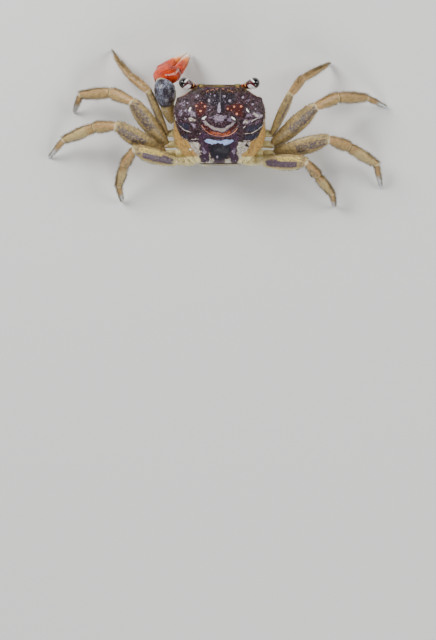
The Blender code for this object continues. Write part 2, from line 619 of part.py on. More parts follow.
def build_pleon():
    crown = 0.35
    telson = [plate_section(y, pleon_half(y), crown) for y in (TELSON_TIP_Y, -0.8, 0.4, 2.4, TELSON_ROOT_Y)]
    finish(loft("telson", telson), "pleon")
    sixth_stations = (TELSON_ROOT_Y + GAP, 6.0, 8.0, 9.6, 10.8, PLEON_TURN_Y)
    sixth = [plate_section(y, pleon_half(y), crown) for y in sixth_stations]
    finish(loft("pleon_somite_6", sixth), "pleon")
    # Somites 3 to 5 turn up behind the body and 1 to 2 close it under the carapace's rear edge
    finish(loft("pleon_somites_3_to_5", [rear_ring(*row) for row in PLEON_REAR_LOW]), "pleon")
    finish(loft("pleon_somites_1_to_2", [rear_ring(*row) for row in PLEON_REAR_HIGH]), "pleon")


def rear_ring(outer_y, outer_z, inner_y, inner_z, half):
    """One ring of the curved plates behind the body, from its outer and inner points on the midline."""
    outer, inner = np.array((0.0, outer_y, outer_z)), np.array((0.0, inner_y, inner_z))
    shares = (-1.0, -0.85, -0.5, 0.0, 0.5, 0.85, 1.0)
    across = np.array((half, 0.0, 0.0))
    ring = [inner + across * s for s in shares]
    ring += [outer + (inner - outer) * PLEON_WRAP * abs(s) ** 4 + across * s for s in reversed(shares)]
    return ring


# Eyes, antennae and mouthparts


def mirrored(point, side):
    return np.array((side * point[0], point[1], point[2]), dtype=float)


def build_eye(side, side_name):
    root, centre = mirrored(STALK_ROOT, side), mirrored(CORNEA_CENTRE, side)
    along = unit(centre - root)
    cut = centre - along * 0.9
    stalk_end = cut - along * GAP
    outline = [(0.0, 0.3, 0.3, 0.3), (0.35, 0.37, 0.37, 0.37), (0.75, 0.47, 0.47, 0.47), (1.0, 0.46, 0.46, 0.46)]
    planes = (None, (stalk_end, along))
    rings = limb_rings(root, stalk_end, (0, 0, 1), outline, STALK_WIDTH, 12, planes=planes)
    finish(loft(f"eyestalk_{side_name}", rings), "stalk")

    tilt = math.radians(CORNEA_TILT) * side
    levels, sides = 8, 12
    rings = []
    for k in range(1, levels):
        polar = math.pi * k / levels
        ring = []
        for i in range(sides):
            turn = 2 * math.pi * i / sides
            x = CORNEA_HALF[0] * math.sin(polar) * math.cos(turn)
            y = CORNEA_HALF[1] * math.sin(polar) * math.sin(turn)
            z = -CORNEA_HALF[2] * math.cos(polar)
            leaned = (x * math.cos(tilt) + z * math.sin(tilt), y, z * math.cos(tilt) - x * math.sin(tilt))
            ring.append(centre + leaned)
        rings.append(ring)
    cornea = loft(f"cornea_{side_name}", rings)
    cut_flat(cornea, cut, along)
    finish(cornea, "cornea")


def cut_flat(made, origin, normal):
    """Cuts away what lies behind a plane and closes the cut with a flat face."""
    shape = bmesh.new()
    shape.from_mesh(made.data)
    everything = shape.verts[:] + shape.edges[:] + shape.faces[:]
    bmesh.ops.bisect_plane(shape, geom=everything, dist=1e-7, plane_co=tuple(origin * MM),
                           plane_no=tuple(normal), clear_inner=True)
    bmesh.ops.holes_fill(shape, edges=[edge for edge in shape.edges if edge.is_boundary], sides=0)
    bmesh.ops.triangulate(shape, faces=shape.faces[:])
    bmesh.ops.recalc_face_normals(shape, faces=shape.faces[:])
    shape.to_mesh(made.data)
    shape.free()


def build_antenna(side, side_name):
    """A thick basal article and a short whip along the edge of the orbit."""
    route = [mirrored(point, side) for point in ANTENNA_ROUTE]
    finish(tube(f"antenna_{side_name}", route, ANTENNA_RADII, 8), "mouth")


def build_maxilliped(side, side_name):
    """Ischium, merus and palp of the third maxilliped, one plate over the mouth field."""
    outline = [(0.0, 0.34, 0.34, 0.15), (0.2, 0.46, 0.46, 0.2), (0.5, 0.5, 0.5, 0.21),
               (0.8, 0.46, 0.46, 0.2), (1.0, 0.34, 0.34, 0.15)]
    across = (1.0, 0.0, 0.0)
    floor_plane = (np.array((0.0, -2.75, 0.0)), np.array((0.0, 1.0, 0.0)))
    lower = [mirrored(point, side) for point in MAXILLIPED_ISCHIUM]
    upper = [mirrored(point, side) for point in MAXILLIPED_MERUS]
    bent = [mirrored(point, side) for point in MAXILLIPED_PALP]
    lower_rings = limb_rings(*lower, across, outline, MAXILLIPED_WIDTH, 10, planes=(floor_plane, None))
    ischium = loft(f"maxilliped_{side_name}", lower_rings)
    merus = loft("maxilliped_merus", limb_rings(*upper, across, outline, MAXILLIPED_WIDTH, 10))
    palp = tube("maxilliped_palp", bent, PALP_RADII, 6)
    finish(fuse(ischium, [merus, palp]), "mouth")


# Chelipeds


def claw_point(share, across):
    """A point in the plane of the claw, by its share of the claw's length and distance off its axis."""
    return np.array(CHELA_WRIST) + unit(CHELA_AXIS) * CHELA_LENGTH * share + unit(CHELA_CREST) * across


def claw_rings(edges, start_plane=None):
    flat = np.cross(unit(CHELA_AXIS), unit(CHELA_CREST))
    rings = []
    for k, (share, inner, outer, thick) in enumerate(edges):
        centre, half = (inner + outer) / 2, (inner - outer) / 2
        ring = []
        for i in range(CLAW_SIDES):
            angle = 2 * math.pi * (i + 0.5) / CLAW_SIDES
            point = claw_point(share, centre + half * math.cos(angle)) + flat * thick * math.sin(angle)
            ring.append(onto_plane(point, unit(CHELA_AXIS), start_plane if k == 0 else None))
        rings.append(ring)
    return rings


def edge_spines(edges, shares, inner_edge, length, radius):
    """Teeth or tubercles in a row, sunk into one edge of a finger."""
    edge = curve_through([(row[0], row[1] if inner_edge else row[2]) for row in edges])
    outward = unit(CHELA_CREST) * (1 if inner_edge else -1)
    sink = 0.5
    pieces = []
    for share in shares:
        root = claw_point(share, edge(share)) - outward * sink
        pieces.append(spine("claw_tooth", root, outward, length + sink, radius))
    return pieces


def bowed_ends(start, end, bow):
    """Directions in which a bowed segment starts and ends."""
    return unit(end - start + bow * 4), unit(end - start - bow * 4)


def build_left_cheliped():
    seat, seat_normal = sternum_socket(1, CHELA_HIP_Y, CHELA_HIP_Z)
    elbow, knee, wrist = (np.array(p) for p in (CHELA_ELBOW, CHELA_KNEE, CHELA_WRIST))
    palm_along = unit(CHELA_AXIS)
    merus_along = unit(knee - elbow)
    hip_leaves = bowed_ends(seat, elbow, CHELA_HIP_BOW)[1]
    carpus_starts, carpus_leaves = bowed_ends(knee, wrist, CHELA_CARPUS_BOW)

    planes = ((seat, seat_normal), mitre(elbow, hip_leaves, merus_along, -1))
    rings = limb_rings(seat, elbow, (0, 0, 1), CHELA_HIP_OUTLINE, CHELA_HIP_WIDTH, CLAW_SIDES,
                       CHELA_HIP_BOW, planes)
    finish(loft("cheliped_left_hip", rings), "hip")

    planes = (mitre(elbow, hip_leaves, merus_along, 1), mitre(knee, merus_along, carpus_starts, -1))
    rings = limb_rings(elbow, knee, (0, -1, 0.4), CHELA_MERUS_OUTLINE, CHELA_MERUS_WIDTH, CLAW_SIDES,
                       planes=planes)
    finish(loft("cheliped_left_merus", rings), "leg")

    planes = (mitre(knee, merus_along, carpus_starts, 1), mitre(wrist, carpus_leaves, palm_along, -1))
    rings = limb_rings(knee, wrist, (0, 0, 1), CHELA_CARPUS_OUTLINE, CHELA_CARPUS_WIDTH, CLAW_SIDES,
                       CHELA_CARPUS_BOW, planes)
    finish(loft("cheliped_left_carpus", rings), "cheliped")

    palm_plane = mitre(wrist, carpus_leaves, palm_along, 1)
    palm = loft("cheliped_left_palm", claw_rings(PALM_EDGES, palm_plane))
    finish(fuse(palm, edge_spines(PALM_EDGES[5:], PALM_TEETH, True, 0.4, 0.4)), "claw")
    finger = loft("cheliped_left_dactylus", claw_rings(FINGER_EDGES))
    teeth = edge_spines(FINGER_EDGES, FINGER_TEETH, False, 0.3, 0.35)
    tubercles = edge_spines(FINGER_EDGES, FINGER_TUBERCLES, True, 0.45, 0.45)
    finish(fuse(finger, teeth + tubercles), "claw")


def build_right_stump():
    """Only the coxa is left of the right cheliped, closed by a pale plug."""
    seat, seat_normal = sternum_socket(-1, CHELA_HIP_Y, CHELA_HIP_Z)
    outline = [(0.0, 0.4, 0.4, 0.5), (0.4, 0.44, 0.44, 0.56), (0.8, 0.4, 0.4, 0.54), (0.9, 0.3, 0.3, 0.42),
               (1.0, 0.24, 0.24, 0.34)]
    rings = limb_rings(seat, STUMP_END, (0, 0, 1), outline, 4.4, 12, planes=((seat, seat_normal), None))
    finish(loft("cheliped_right_stump", rings), "plug")


def build_crab():
    clear_scene()
    origin = bpy.data.objects.new("crab_origin", None)
    origin.location = tuple(c * MM for c in PLAN_SHIFT)
    bpy.context.scene.collection.objects.link(origin)
    build_carapace()
    build_sternum()
    build_pleon()
    for side, side_name in ((1, "left"), (-1, "right")):
        build_eye(side, side_name)
        build_antenna(side, side_name)
        build_maxilliped(side, side_name)
        for pair in SEGMENT_LENGTHS:
            build_leg(side_name, pair)
    build_left_cheliped()
    build_right_stump()


build_crab()
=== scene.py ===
"""Finished surface of a life-size still crab, laid out as a Blender add-on and run as a script.

Sizes are in millimetres in the crab's own frame: it faces -Y, +Z is up, its left side is +X
and it stands on the tips of its eight walking legs. Angles are in degrees.
"""
import math

import bmesh
import bpy
import numpy as np
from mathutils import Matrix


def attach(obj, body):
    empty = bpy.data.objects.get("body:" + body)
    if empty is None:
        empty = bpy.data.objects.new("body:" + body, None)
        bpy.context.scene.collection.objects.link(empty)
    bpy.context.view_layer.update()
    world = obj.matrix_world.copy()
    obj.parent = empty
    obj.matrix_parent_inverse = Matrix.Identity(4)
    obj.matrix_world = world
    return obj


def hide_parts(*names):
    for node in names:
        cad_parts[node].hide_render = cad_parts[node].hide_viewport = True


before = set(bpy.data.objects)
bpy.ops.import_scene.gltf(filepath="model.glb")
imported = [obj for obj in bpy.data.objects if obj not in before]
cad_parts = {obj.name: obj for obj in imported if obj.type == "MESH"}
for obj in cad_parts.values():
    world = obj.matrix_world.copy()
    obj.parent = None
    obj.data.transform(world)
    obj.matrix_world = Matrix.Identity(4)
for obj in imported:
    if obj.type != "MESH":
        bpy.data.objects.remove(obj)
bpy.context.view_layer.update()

bl_info = {
    "name": "Neosarmatium Crab",
    "version": (1, 0, 0),
    "blender": (4, 5, 0),
    "location": "3D View > Sidebar > Crab",
    "description": "Builds the shell, limbs, eyes and setae of a life-size crab with one claw",
    "category": "Object",
}

MM = 0.001
GAP = 0.3
PLAN_SHIFT = np.array((-0.42, -0.36, 0.0))
SIDES = ((1, "left"), (-1, "right"))

# Carapace, seen from above: (y, half width) of the dorsal ridge, the wall and its lower edge
REAR_Y = 12.3
RIDGE_HALF = [
    (-13.5, 6.2), (-13.2, 6.8), (-12.7, 7.4), (-11, 10), (-9.6, 12.3), (-9, 13.9), (-7.8, 14.2), (-5.4, 15),
    (-3.4, 15.1), (-0.8, 14.5), (1.8, 13.5), (4.6, 12), (9, 9.6), (REAR_Y, 7.6)
]
WALL_HALF = [(-9, 14), (-4, 14.4), (2.5, 15.1), (6, 14.2), (9, 12.1), (11.7, 9.4), (REAR_Y, 8.6)]
LOW_HALF = [(-9, 13.6), (-4, 13.1), (2.5, 13.8), (6, 12.9), (9, 11), (11.7, 8.6), (REAR_Y, 7.9)]
LOW_HEIGHT = [
    (-9.4, 20.2), (-9, 18.4), (-8.6, 15.6), (-8, 12.9), (-7, 10.9), (-5.5, 9.8), (-3, 9.4), (3, 10.2),
    (8, 11.4), (11.7, 12.9), (REAR_Y, 13.3)
]
# Heights above the floor along the midline and along the dorsal ridge
MID_HEIGHT = [
    (-13.5, 18.9), (-13.35, 20.3), (-13.1, 21.5), (-12.7, 22.2), (-12.2, 22.4), (-11.2, 22.4), (-8, 23.1),
    (-3, 23.7), (3, 23.5), (8, 22.3), (10.7, 20.3), (12, 18.4), (REAR_Y, 17.2)
]
RIDGE_HEIGHT = [
    (-13.5, 18.8), (-13.1, 19.7), (-12.4, 20.7), (-11, 21.2), (-9, 21.2), (-5, 21.2), (0, 20.6),
    (4.6, 19.4), (9, 17.6), (REAR_Y, 16)
]
DORSAL_POWER = 2.4
ROOF_THICKNESS = 1.1
# Lobes and dips of the back: (height, x, y, half width in x, half width in y)
DORSAL_LOBES = [
    (0.35, 0, -3.5, 3.4, 3.5), (0.3, 0, 7, 3.4, 2.2), (-0.35, 4.9, 7, 1, 3), (0.4, 9.5, -2.5, 3, 3.2),
    (-0.45, 0, -12.2, 0.9, 1.3), (0.35, 2, -11.7, 1.3, 0.7), (0.35, 4.9, -11.6, 1.3, 0.7),
    (-0.3, 4.2, -8, 1.2, 2.2), (0.3, 10.5, 3, 1.6, 2.6)
]

# Face: underside heights over the mouth field and over the swollen cheeks
MOUTH_HEIGHT = [
    (-13.5, 18.3), (-13.1, 18), (-12.4, 17.3), (-11.9, 16.2), (-11.5, 14.9), (-11.1, 14.2), (-10.8, 14.8),
    (-10.4, 16.2), (-9.6, 15.8), (-8.2, 14.2), (-6.6, 12.4), (-4.6, 10.2), (-3.6, 9.1), (-2.4, 8.8)
]
CHEEK_HEIGHT = [
    (-13.5, 18.3), (-13.1, 18.1), (-12.4, 17.9), (-11.8, 17.6), (-11.2, 17), (-10.8, 15.6), (-10.2, 13.6),
    (-9.2, 11.6), (-8, 10.4), (-6.5, 9.7), (-4.5, 9.2), (-2, 8.9)
]
MOUTH_HALF = [(-13.5, 5.5), (-11.2, 5.5), (-9.8, 6.6), (-4, 6.6), (-2.3, 6.2)]
MOUTH_EDGE = 0.5
CHEEK_ROUNDING = 3.6
ANTENNULE_BULB = (-0.8, 3.3, -12.3, 1.3, 0.45)
ORBIT_INNER_X = 6.5
ORBIT_BACK_Y = -11.2
ORBIT_BACK_SLOPE = 0.27

# Sternum: (y, half width) and the heights of its two faces
STERNUM_FRONT_Y = -2.3
STERNUM_HALF = [
    (-2.3, 4.6), (-1.8, 6.4), (-1, 7.8), (0.5, 9.6), (2, 10.6), (4, 11.2), (7, 11.2), (9, 10.5), (11, 9),
    (12, 7.8)
]
STERNUM_TOP = [(-2.3, 8.3), (3, 8.5), (8, 9.3), (10, 10.4), (12, 11.4)]
STERNUM_LOW = [(-2.3, 5), (-1, 4.7), (2, 4.5), (8, 4.5), (10.8, 5.2), (12, 6.3)]
STERNUM_SIDE_RISE = 1.7
STERNUM_SEAMS = (0.4, 3.7, 7.2, 10.1)
SEAM_DEPTH = 0.35
SEAM_HALF_WIDTH = 0.3
PLEON_THICKNESS = 1.0
PLEON_HALF = [
    (-1.2, 0.7), (-0.8, 1.35), (0.4, 1.85), (2.4, 1.95), (4.2, 1.95), (4.5, 2.35), (8, 3.4), (12, 4.4)
]
PLEON_CROWN = 0.35
TELSON_TIP_Y = -1.2
TELSON_ROOT_Y = 4.2
PLEON_TURN_Y = 11.6
# The pleon where it turns up behind the body: (outer y, outer z, inner y, inner z, half width)
PLEON_REAR_LOW = [
    (11.9, 6.1, 11.9, 7.1, 4.4), (12.5, 6.7, 12.2, 7.45, 4.4), (12.95, 7.4, 12.4, 7.9, 4.5),
    (13.2, 8.2, 12.6, 8.3, 4.6), (13.1, 8.5, 12.6, 8.5, 4.8), (13.35, 9.3, 12.6, 9.3, 5),
    (13.35, 10.4, 12.6, 10.4, 5.3), (13.2, 10.7, 12.6, 10.7, 5.5), (13.42, 11.4, 12.6, 11.4, 5.7),
    (13.42, 12.9, 12.6, 12.9, 6), (13.25, 13.2, 12.6, 13.2, 6.1)
]
PLEON_REAR_HIGH = [
    (13.25, 13.5, 12.6, 13.5, 6.3), (13.42, 13.8, 12.6, 13.8, 6.5), (13.42, 14.5, 12.6, 14.5, 6.7),
    (13.2, 14.8, 12.6, 14.8, 6.8), (13.4, 15.1, 12.6, 15.1, 6.9), (13.3, 15.8, 12.6, 15.8, 7)
]
PLEON_WRAP = 0.7
REAR_MEMBRANE = [(-6.2, 12.45, 13.2), (0, 12.45, 13.5), (6.2, 12.45, 13.2)]

# Walking legs: lengths of merus, carpus, propodus and dactylus for pairs 1 to 4
SEGMENT_LENGTHS = {1: (17.2, 8.4, 9.4, 7.6), 2: (20.0, 8.8, 11.8, 9.2),
                   3: (19.3, 8.4, 12.4, 9.8), 4: (15.0, 6.8, 8.8, 8.0)}
HIP_START = {1: (1.9, 6.5), 2: (5.4, 6.8), 3: (8.8, 7.2), 4: (11.2, 9.6)}
MERUS_START = {1: (17.5, 2.3, 8.0), 2: (17.6, 6.0, 8.3), 3: (18.2, 8.9, 9.6), 4: (14.1, 11.7, 10.9)}
# Heading and slope of merus, carpus and propodus, heading of the dactylus, roll of the merus's crest
LEG_POSES = {
    "left_1": ((23, 29), (50, -25), (40, -49), 30, 76),
    "left_2": ((39, 27), (66, -29), (93, -32), 158, 28),
    "left_3": ((61, 20), (93, -31), (111, -28), 139, 28),
    "left_4": ((75, 15), (146, -28), (165, -38), 192, 28),
    "right_1": ((25, 35.5), (37, -38), (60, -40), 60, 65),
    "right_2": ((49, 21), (66, -23), (90, -34), 114, 28),
    "right_3": ((76, 19), (109, -31), (121, -30), 168, 28),
    "right_4": ((91, 15), (139, -30), (141, -31), 166, 28),
}
# Outline of each segment: share of length, half to the crest and half to the lower edge, or one half for
# both, and half thickness, as shares of the segment's own width
HIP_OUTLINE = [
    (0, 0.46, 0.36), (0.3, 0.55, 0.42), (0.48, 0.5, 0.38), (0.55, 0.42, 0.31), (0.6, 0.46, 0.33),
    (0.75, 0.5, 0.34), (1, 0.42, 0.28)
]
MERUS_OUTLINE = [
    (0, 0.27, 0.27, 0.15), (0.12, 0.33, 0.36, 0.18), (0.35, 0.44, 0.48, 0.21), (0.6, 0.49, 0.5, 0.23),
    (0.82, 0.44, 0.4, 0.23), (0.93, 0.38, 0.3, 0.22), (1, 0.28, 0.24, 0.2)
]
CARPUS_OUTLINE = [
    (0, 0.36, 0.3, 0.34), (0.2, 0.44, 0.36, 0.4), (0.5, 0.52, 0.46, 0.42), (0.8, 0.56, 0.5, 0.42),
    (0.93, 0.5, 0.46, 0.4), (1, 0.42, 0.4, 0.36)
]
PROPODUS_OUTLINE = [
    (0, 0.4, 0.4, 0.34), (0.15, 0.48, 0.46, 0.36), (0.45, 0.48, 0.46, 0.36), (0.75, 0.38, 0.36, 0.3),
    (0.93, 0.32, 0.3, 0.26), (1, 0.26, 0.26, 0.22)
]
DACTYLUS_OUTLINE = [
    (0, 0.44, 0.42), (0.12, 0.5, 0.46), (0.4, 0.42, 0.4), (0.7, 0.28, 0.28), (0.88, 0.19, 0.19),
    (1, 0.14, 0.14)
]
MERUS_TOOTH = (0.86, 0.3, 1.6, 0.5)
HIP_WIDTH = {1: 3.7, 2: 3.7, 3: 3.6, 4: 3.5}
MERUS_WIDTH = {1: 5.4, 2: 6.2, 3: 6.2, 4: 5.7}
CARPUS_WIDTH = {1: 3.4, 2: 3.7, 3: 3.7, 4: 3.1}
PROPODUS_WIDTH = {1: 3.2, 2: 3.7, 3: 3.7, 4: 3.0}
DACTYLUS_WIDTH = 1.7
DACTYLUS_BOW = 0.5
# Raised lines along a segment: (angle from the crest, height, half width of the line)
CARPUS_RIDGES = [(38, 0.14, 7), (-38, 0.14, 7), (75, 0.09, 6), (-75, 0.09, 6)]
PROPODUS_RIDGES = [(30, 0.1, 7), (-30, 0.1, 7), (150, 0.08, 8), (-150, 0.08, 8)]
DACTYLUS_RIDGES = [
    (0, 0.07, 12), (60, 0.05, 10), (120, 0.05, 10), (180, 0.05, 12), (-60, 0.05, 10), (-120, 0.05, 10)
]
MERUS_RIDGES = [(0, 0.1, 8), (180, 0.08, 10), (150, 0.06, 6), (-150, 0.06, 6)]

# Left cheliped: the joints from the hip to the finger tips
CHELA_HIP_Y = -0.9
CHELA_HIP_Z = 6.25
CHELA_ELBOW = np.array((15.4, -2.9, 7.2))
CHELA_KNEE = np.array((17.6, -7.2, 15.2))
CHELA_WRIST = np.array((18.9, -14.5, 16.2))
CHELA_LENGTH = 20.5
CHELA_AXIS = (-0.44, -0.50, -0.745)
CHELA_CREST = (-0.86, 0.0, 0.51)
CHELA_HIP_OUTLINE = [
    (0, 0.5, 0.44), (0.25, 0.54, 0.46), (0.5, 0.48, 0.4), (0.75, 0.5, 0.42), (1, 0.42, 0.36)
]
CHELA_MERUS_OUTLINE = [
    (0, 0.36, 0.36), (0.2, 0.5, 0.42), (0.55, 0.56, 0.42), (0.85, 0.52, 0.4), (1, 0.4, 0.34)
]
CHELA_CARPUS_OUTLINE = [
    (0, 0.3, 0.3, 0.28), (0.16, 0.44, 0.42, 0.42), (0.4, 0.5, 0.46, 0.5), (0.65, 0.5, 0.46, 0.5),
    (0.86, 0.42, 0.4, 0.42), (1, 0.28, 0.28, 0.28)
]
CHELA_HIP_BOW = np.array((0.0, -1.3, -0.1))
CHELA_CARPUS_BOW = np.array((-0.5, 0.0, 1.5))
CHELA_HIP_WIDTH = 3.8
CHELA_MERUS_WIDTH = 4.7
CHELA_CARPUS_WIDTH = 6.9
# Edges of the claw: (share of length, edge on the dactylus side, outer edge, half thickness)
PALM_EDGES = [
    (0, 1.7, -2.2, 1.6), (0.06, 2.6, -3.4, 2), (0.15, 4, -4.9, 2.8), (0.24, 4.4, -5.4, 3),
    (0.31, 4, -5.5, 3), (0.325, 0, -5.5, 2.9), (0.45, -0.5, -5, 2.5), (0.6, -0.7, -4.2, 2),
    (0.75, -0.7, -3.1, 1.5), (0.88, -0.6, -2.1, 1), (1, -0.5, -1.1, 0.35)
]
FINGER_EDGES = [
    (0.345, 3.7, 0.7, 1.8), (0.42, 3.8, 0.6, 1.9), (0.55, 3.4, 0.3, 1.7), (0.7, 2.7, 0.1, 1.4),
    (0.85, 1.8, -0.1, 1), (0.985, 0.5, -0.1, 0.35)
]
TIP_ROUNDING = 0.9
PALM_TEETH = (0.42, 0.46, 0.5, 0.54, 0.58, 0.63, 0.67, 0.72, 0.76, 0.82)
FINGER_TEETH = (0.43, 0.47, 0.5, 0.54, 0.58, 0.62, 0.67, 0.71, 0.77)
FINGER_TUBERCLES = (0.4, 0.44, 0.48, 0.52, 0.56, 0.6, 0.64, 0.68, 0.72, 0.76, 0.8)
# On the palm's upper side, in x and y: a dark oval, and a pale crescent round its inner end
PALM_DARK_OVAL = (15.2, -18.7, 1.5, 1.2)
PALM_CRESCENT = [(14.6, -20.6), (13.5, -19.8), (13.4, -18.6), (14.3, -17.4), (15.8, -16.8), (17.6, -16.7)]
# Shares of the claw's length at which its tips turn yellow and white
CLAW_YELLOW_FROM = 0.5
CLAW_WHITE_FROM = 0.62
# What is left of the right cheliped
STUMP_END = np.array((-10.6, -4.3, 6.1))
STUMP_OUTLINE = [
    (0, 0.4, 0.5), (0.4, 0.44, 0.56), (0.74, 0.42, 0.54), (0.84, 0.36, 0.48), (0.88, 0.3, 0.42),
    (0.95, 0.3, 0.42), (1, 0.24, 0.34)
]
STUMP_WIDTH = 4.4

# Eyes, antennae and mouthparts, for the left side
STALK_ROOT = (7.85, -12.75, 17.9)
STALK_WIDTH = 3.2
STALK_OUTLINE = [(0, 0.3, 0.3), (0.35, 0.37, 0.37), (0.7, 0.48, 0.48), (0.88, 0.52, 0.52), (1, 0.46, 0.46)]
CORNEA_CENTRE = (11.45, -13.85, 21.9)
CORNEA_HALF = (1.75, 1.9, 2.65)
CORNEA_TILT = 14
ANTENNA_ROUTE = [(5.9, -12.6, 16.9), (7.2, -13, 16.7), (8.9, -12.8, 16.2), (10.4, -12, 15.9)]
ANTENNA_RADII = (0.75, 0.7, 0.34, 0.24)
MAXILLIPED_OUTLINE = [
    (0, 0.34, 0.15), (0.2, 0.46, 0.2), (0.5, 0.5, 0.21), (0.8, 0.46, 0.2), (1, 0.34, 0.15)
]
MAXILLIPED_ISCHIUM = ((3.3, -2.9, 6.3), (3.85, -6.3, 9.9))
MAXILLIPED_MERUS = ((3.8, -6.1, 9.7), (3.75, -9.9, 13.7))
MAXILLIPED_WIDTH = 4.1
PAD_OUTLINE = [(0, 0.2, 0.1), (0.2, 0.4, 0.16), (0.5, 0.5, 0.18), (0.8, 0.36, 0.14), (1, 0.12, 0.06)]
MAXILLIPED_PALP = [(3.4, -10.1, 13.5), (2.2, -10.3, 13.3), (1.4, -9.8, 12.2), (1.1, -8.8, 10.7)]
PALP_RADII = (0.5, 0.55, 0.45, 0.3)
ANTENNULE_PLACE = (3.8, -12.75, 17.6)
# Pale ridge below each orbit and the painted shade under it, as (distance from the midline, height)
SUBORBITAL_RIDGE = [(13.3, 17.3), (8.4, 16.5), (6.2, 15.2), (4.9, 13.6)]
FRONT_PINK = [(0.5, 20.5), (1.9, 21.2), (3.4, 21), (5, 21.6), (6.3, 21.2)]
SUBORBITAL_SHADE = [(13, 15.5), (9.4, 15), (7.2, 14)]

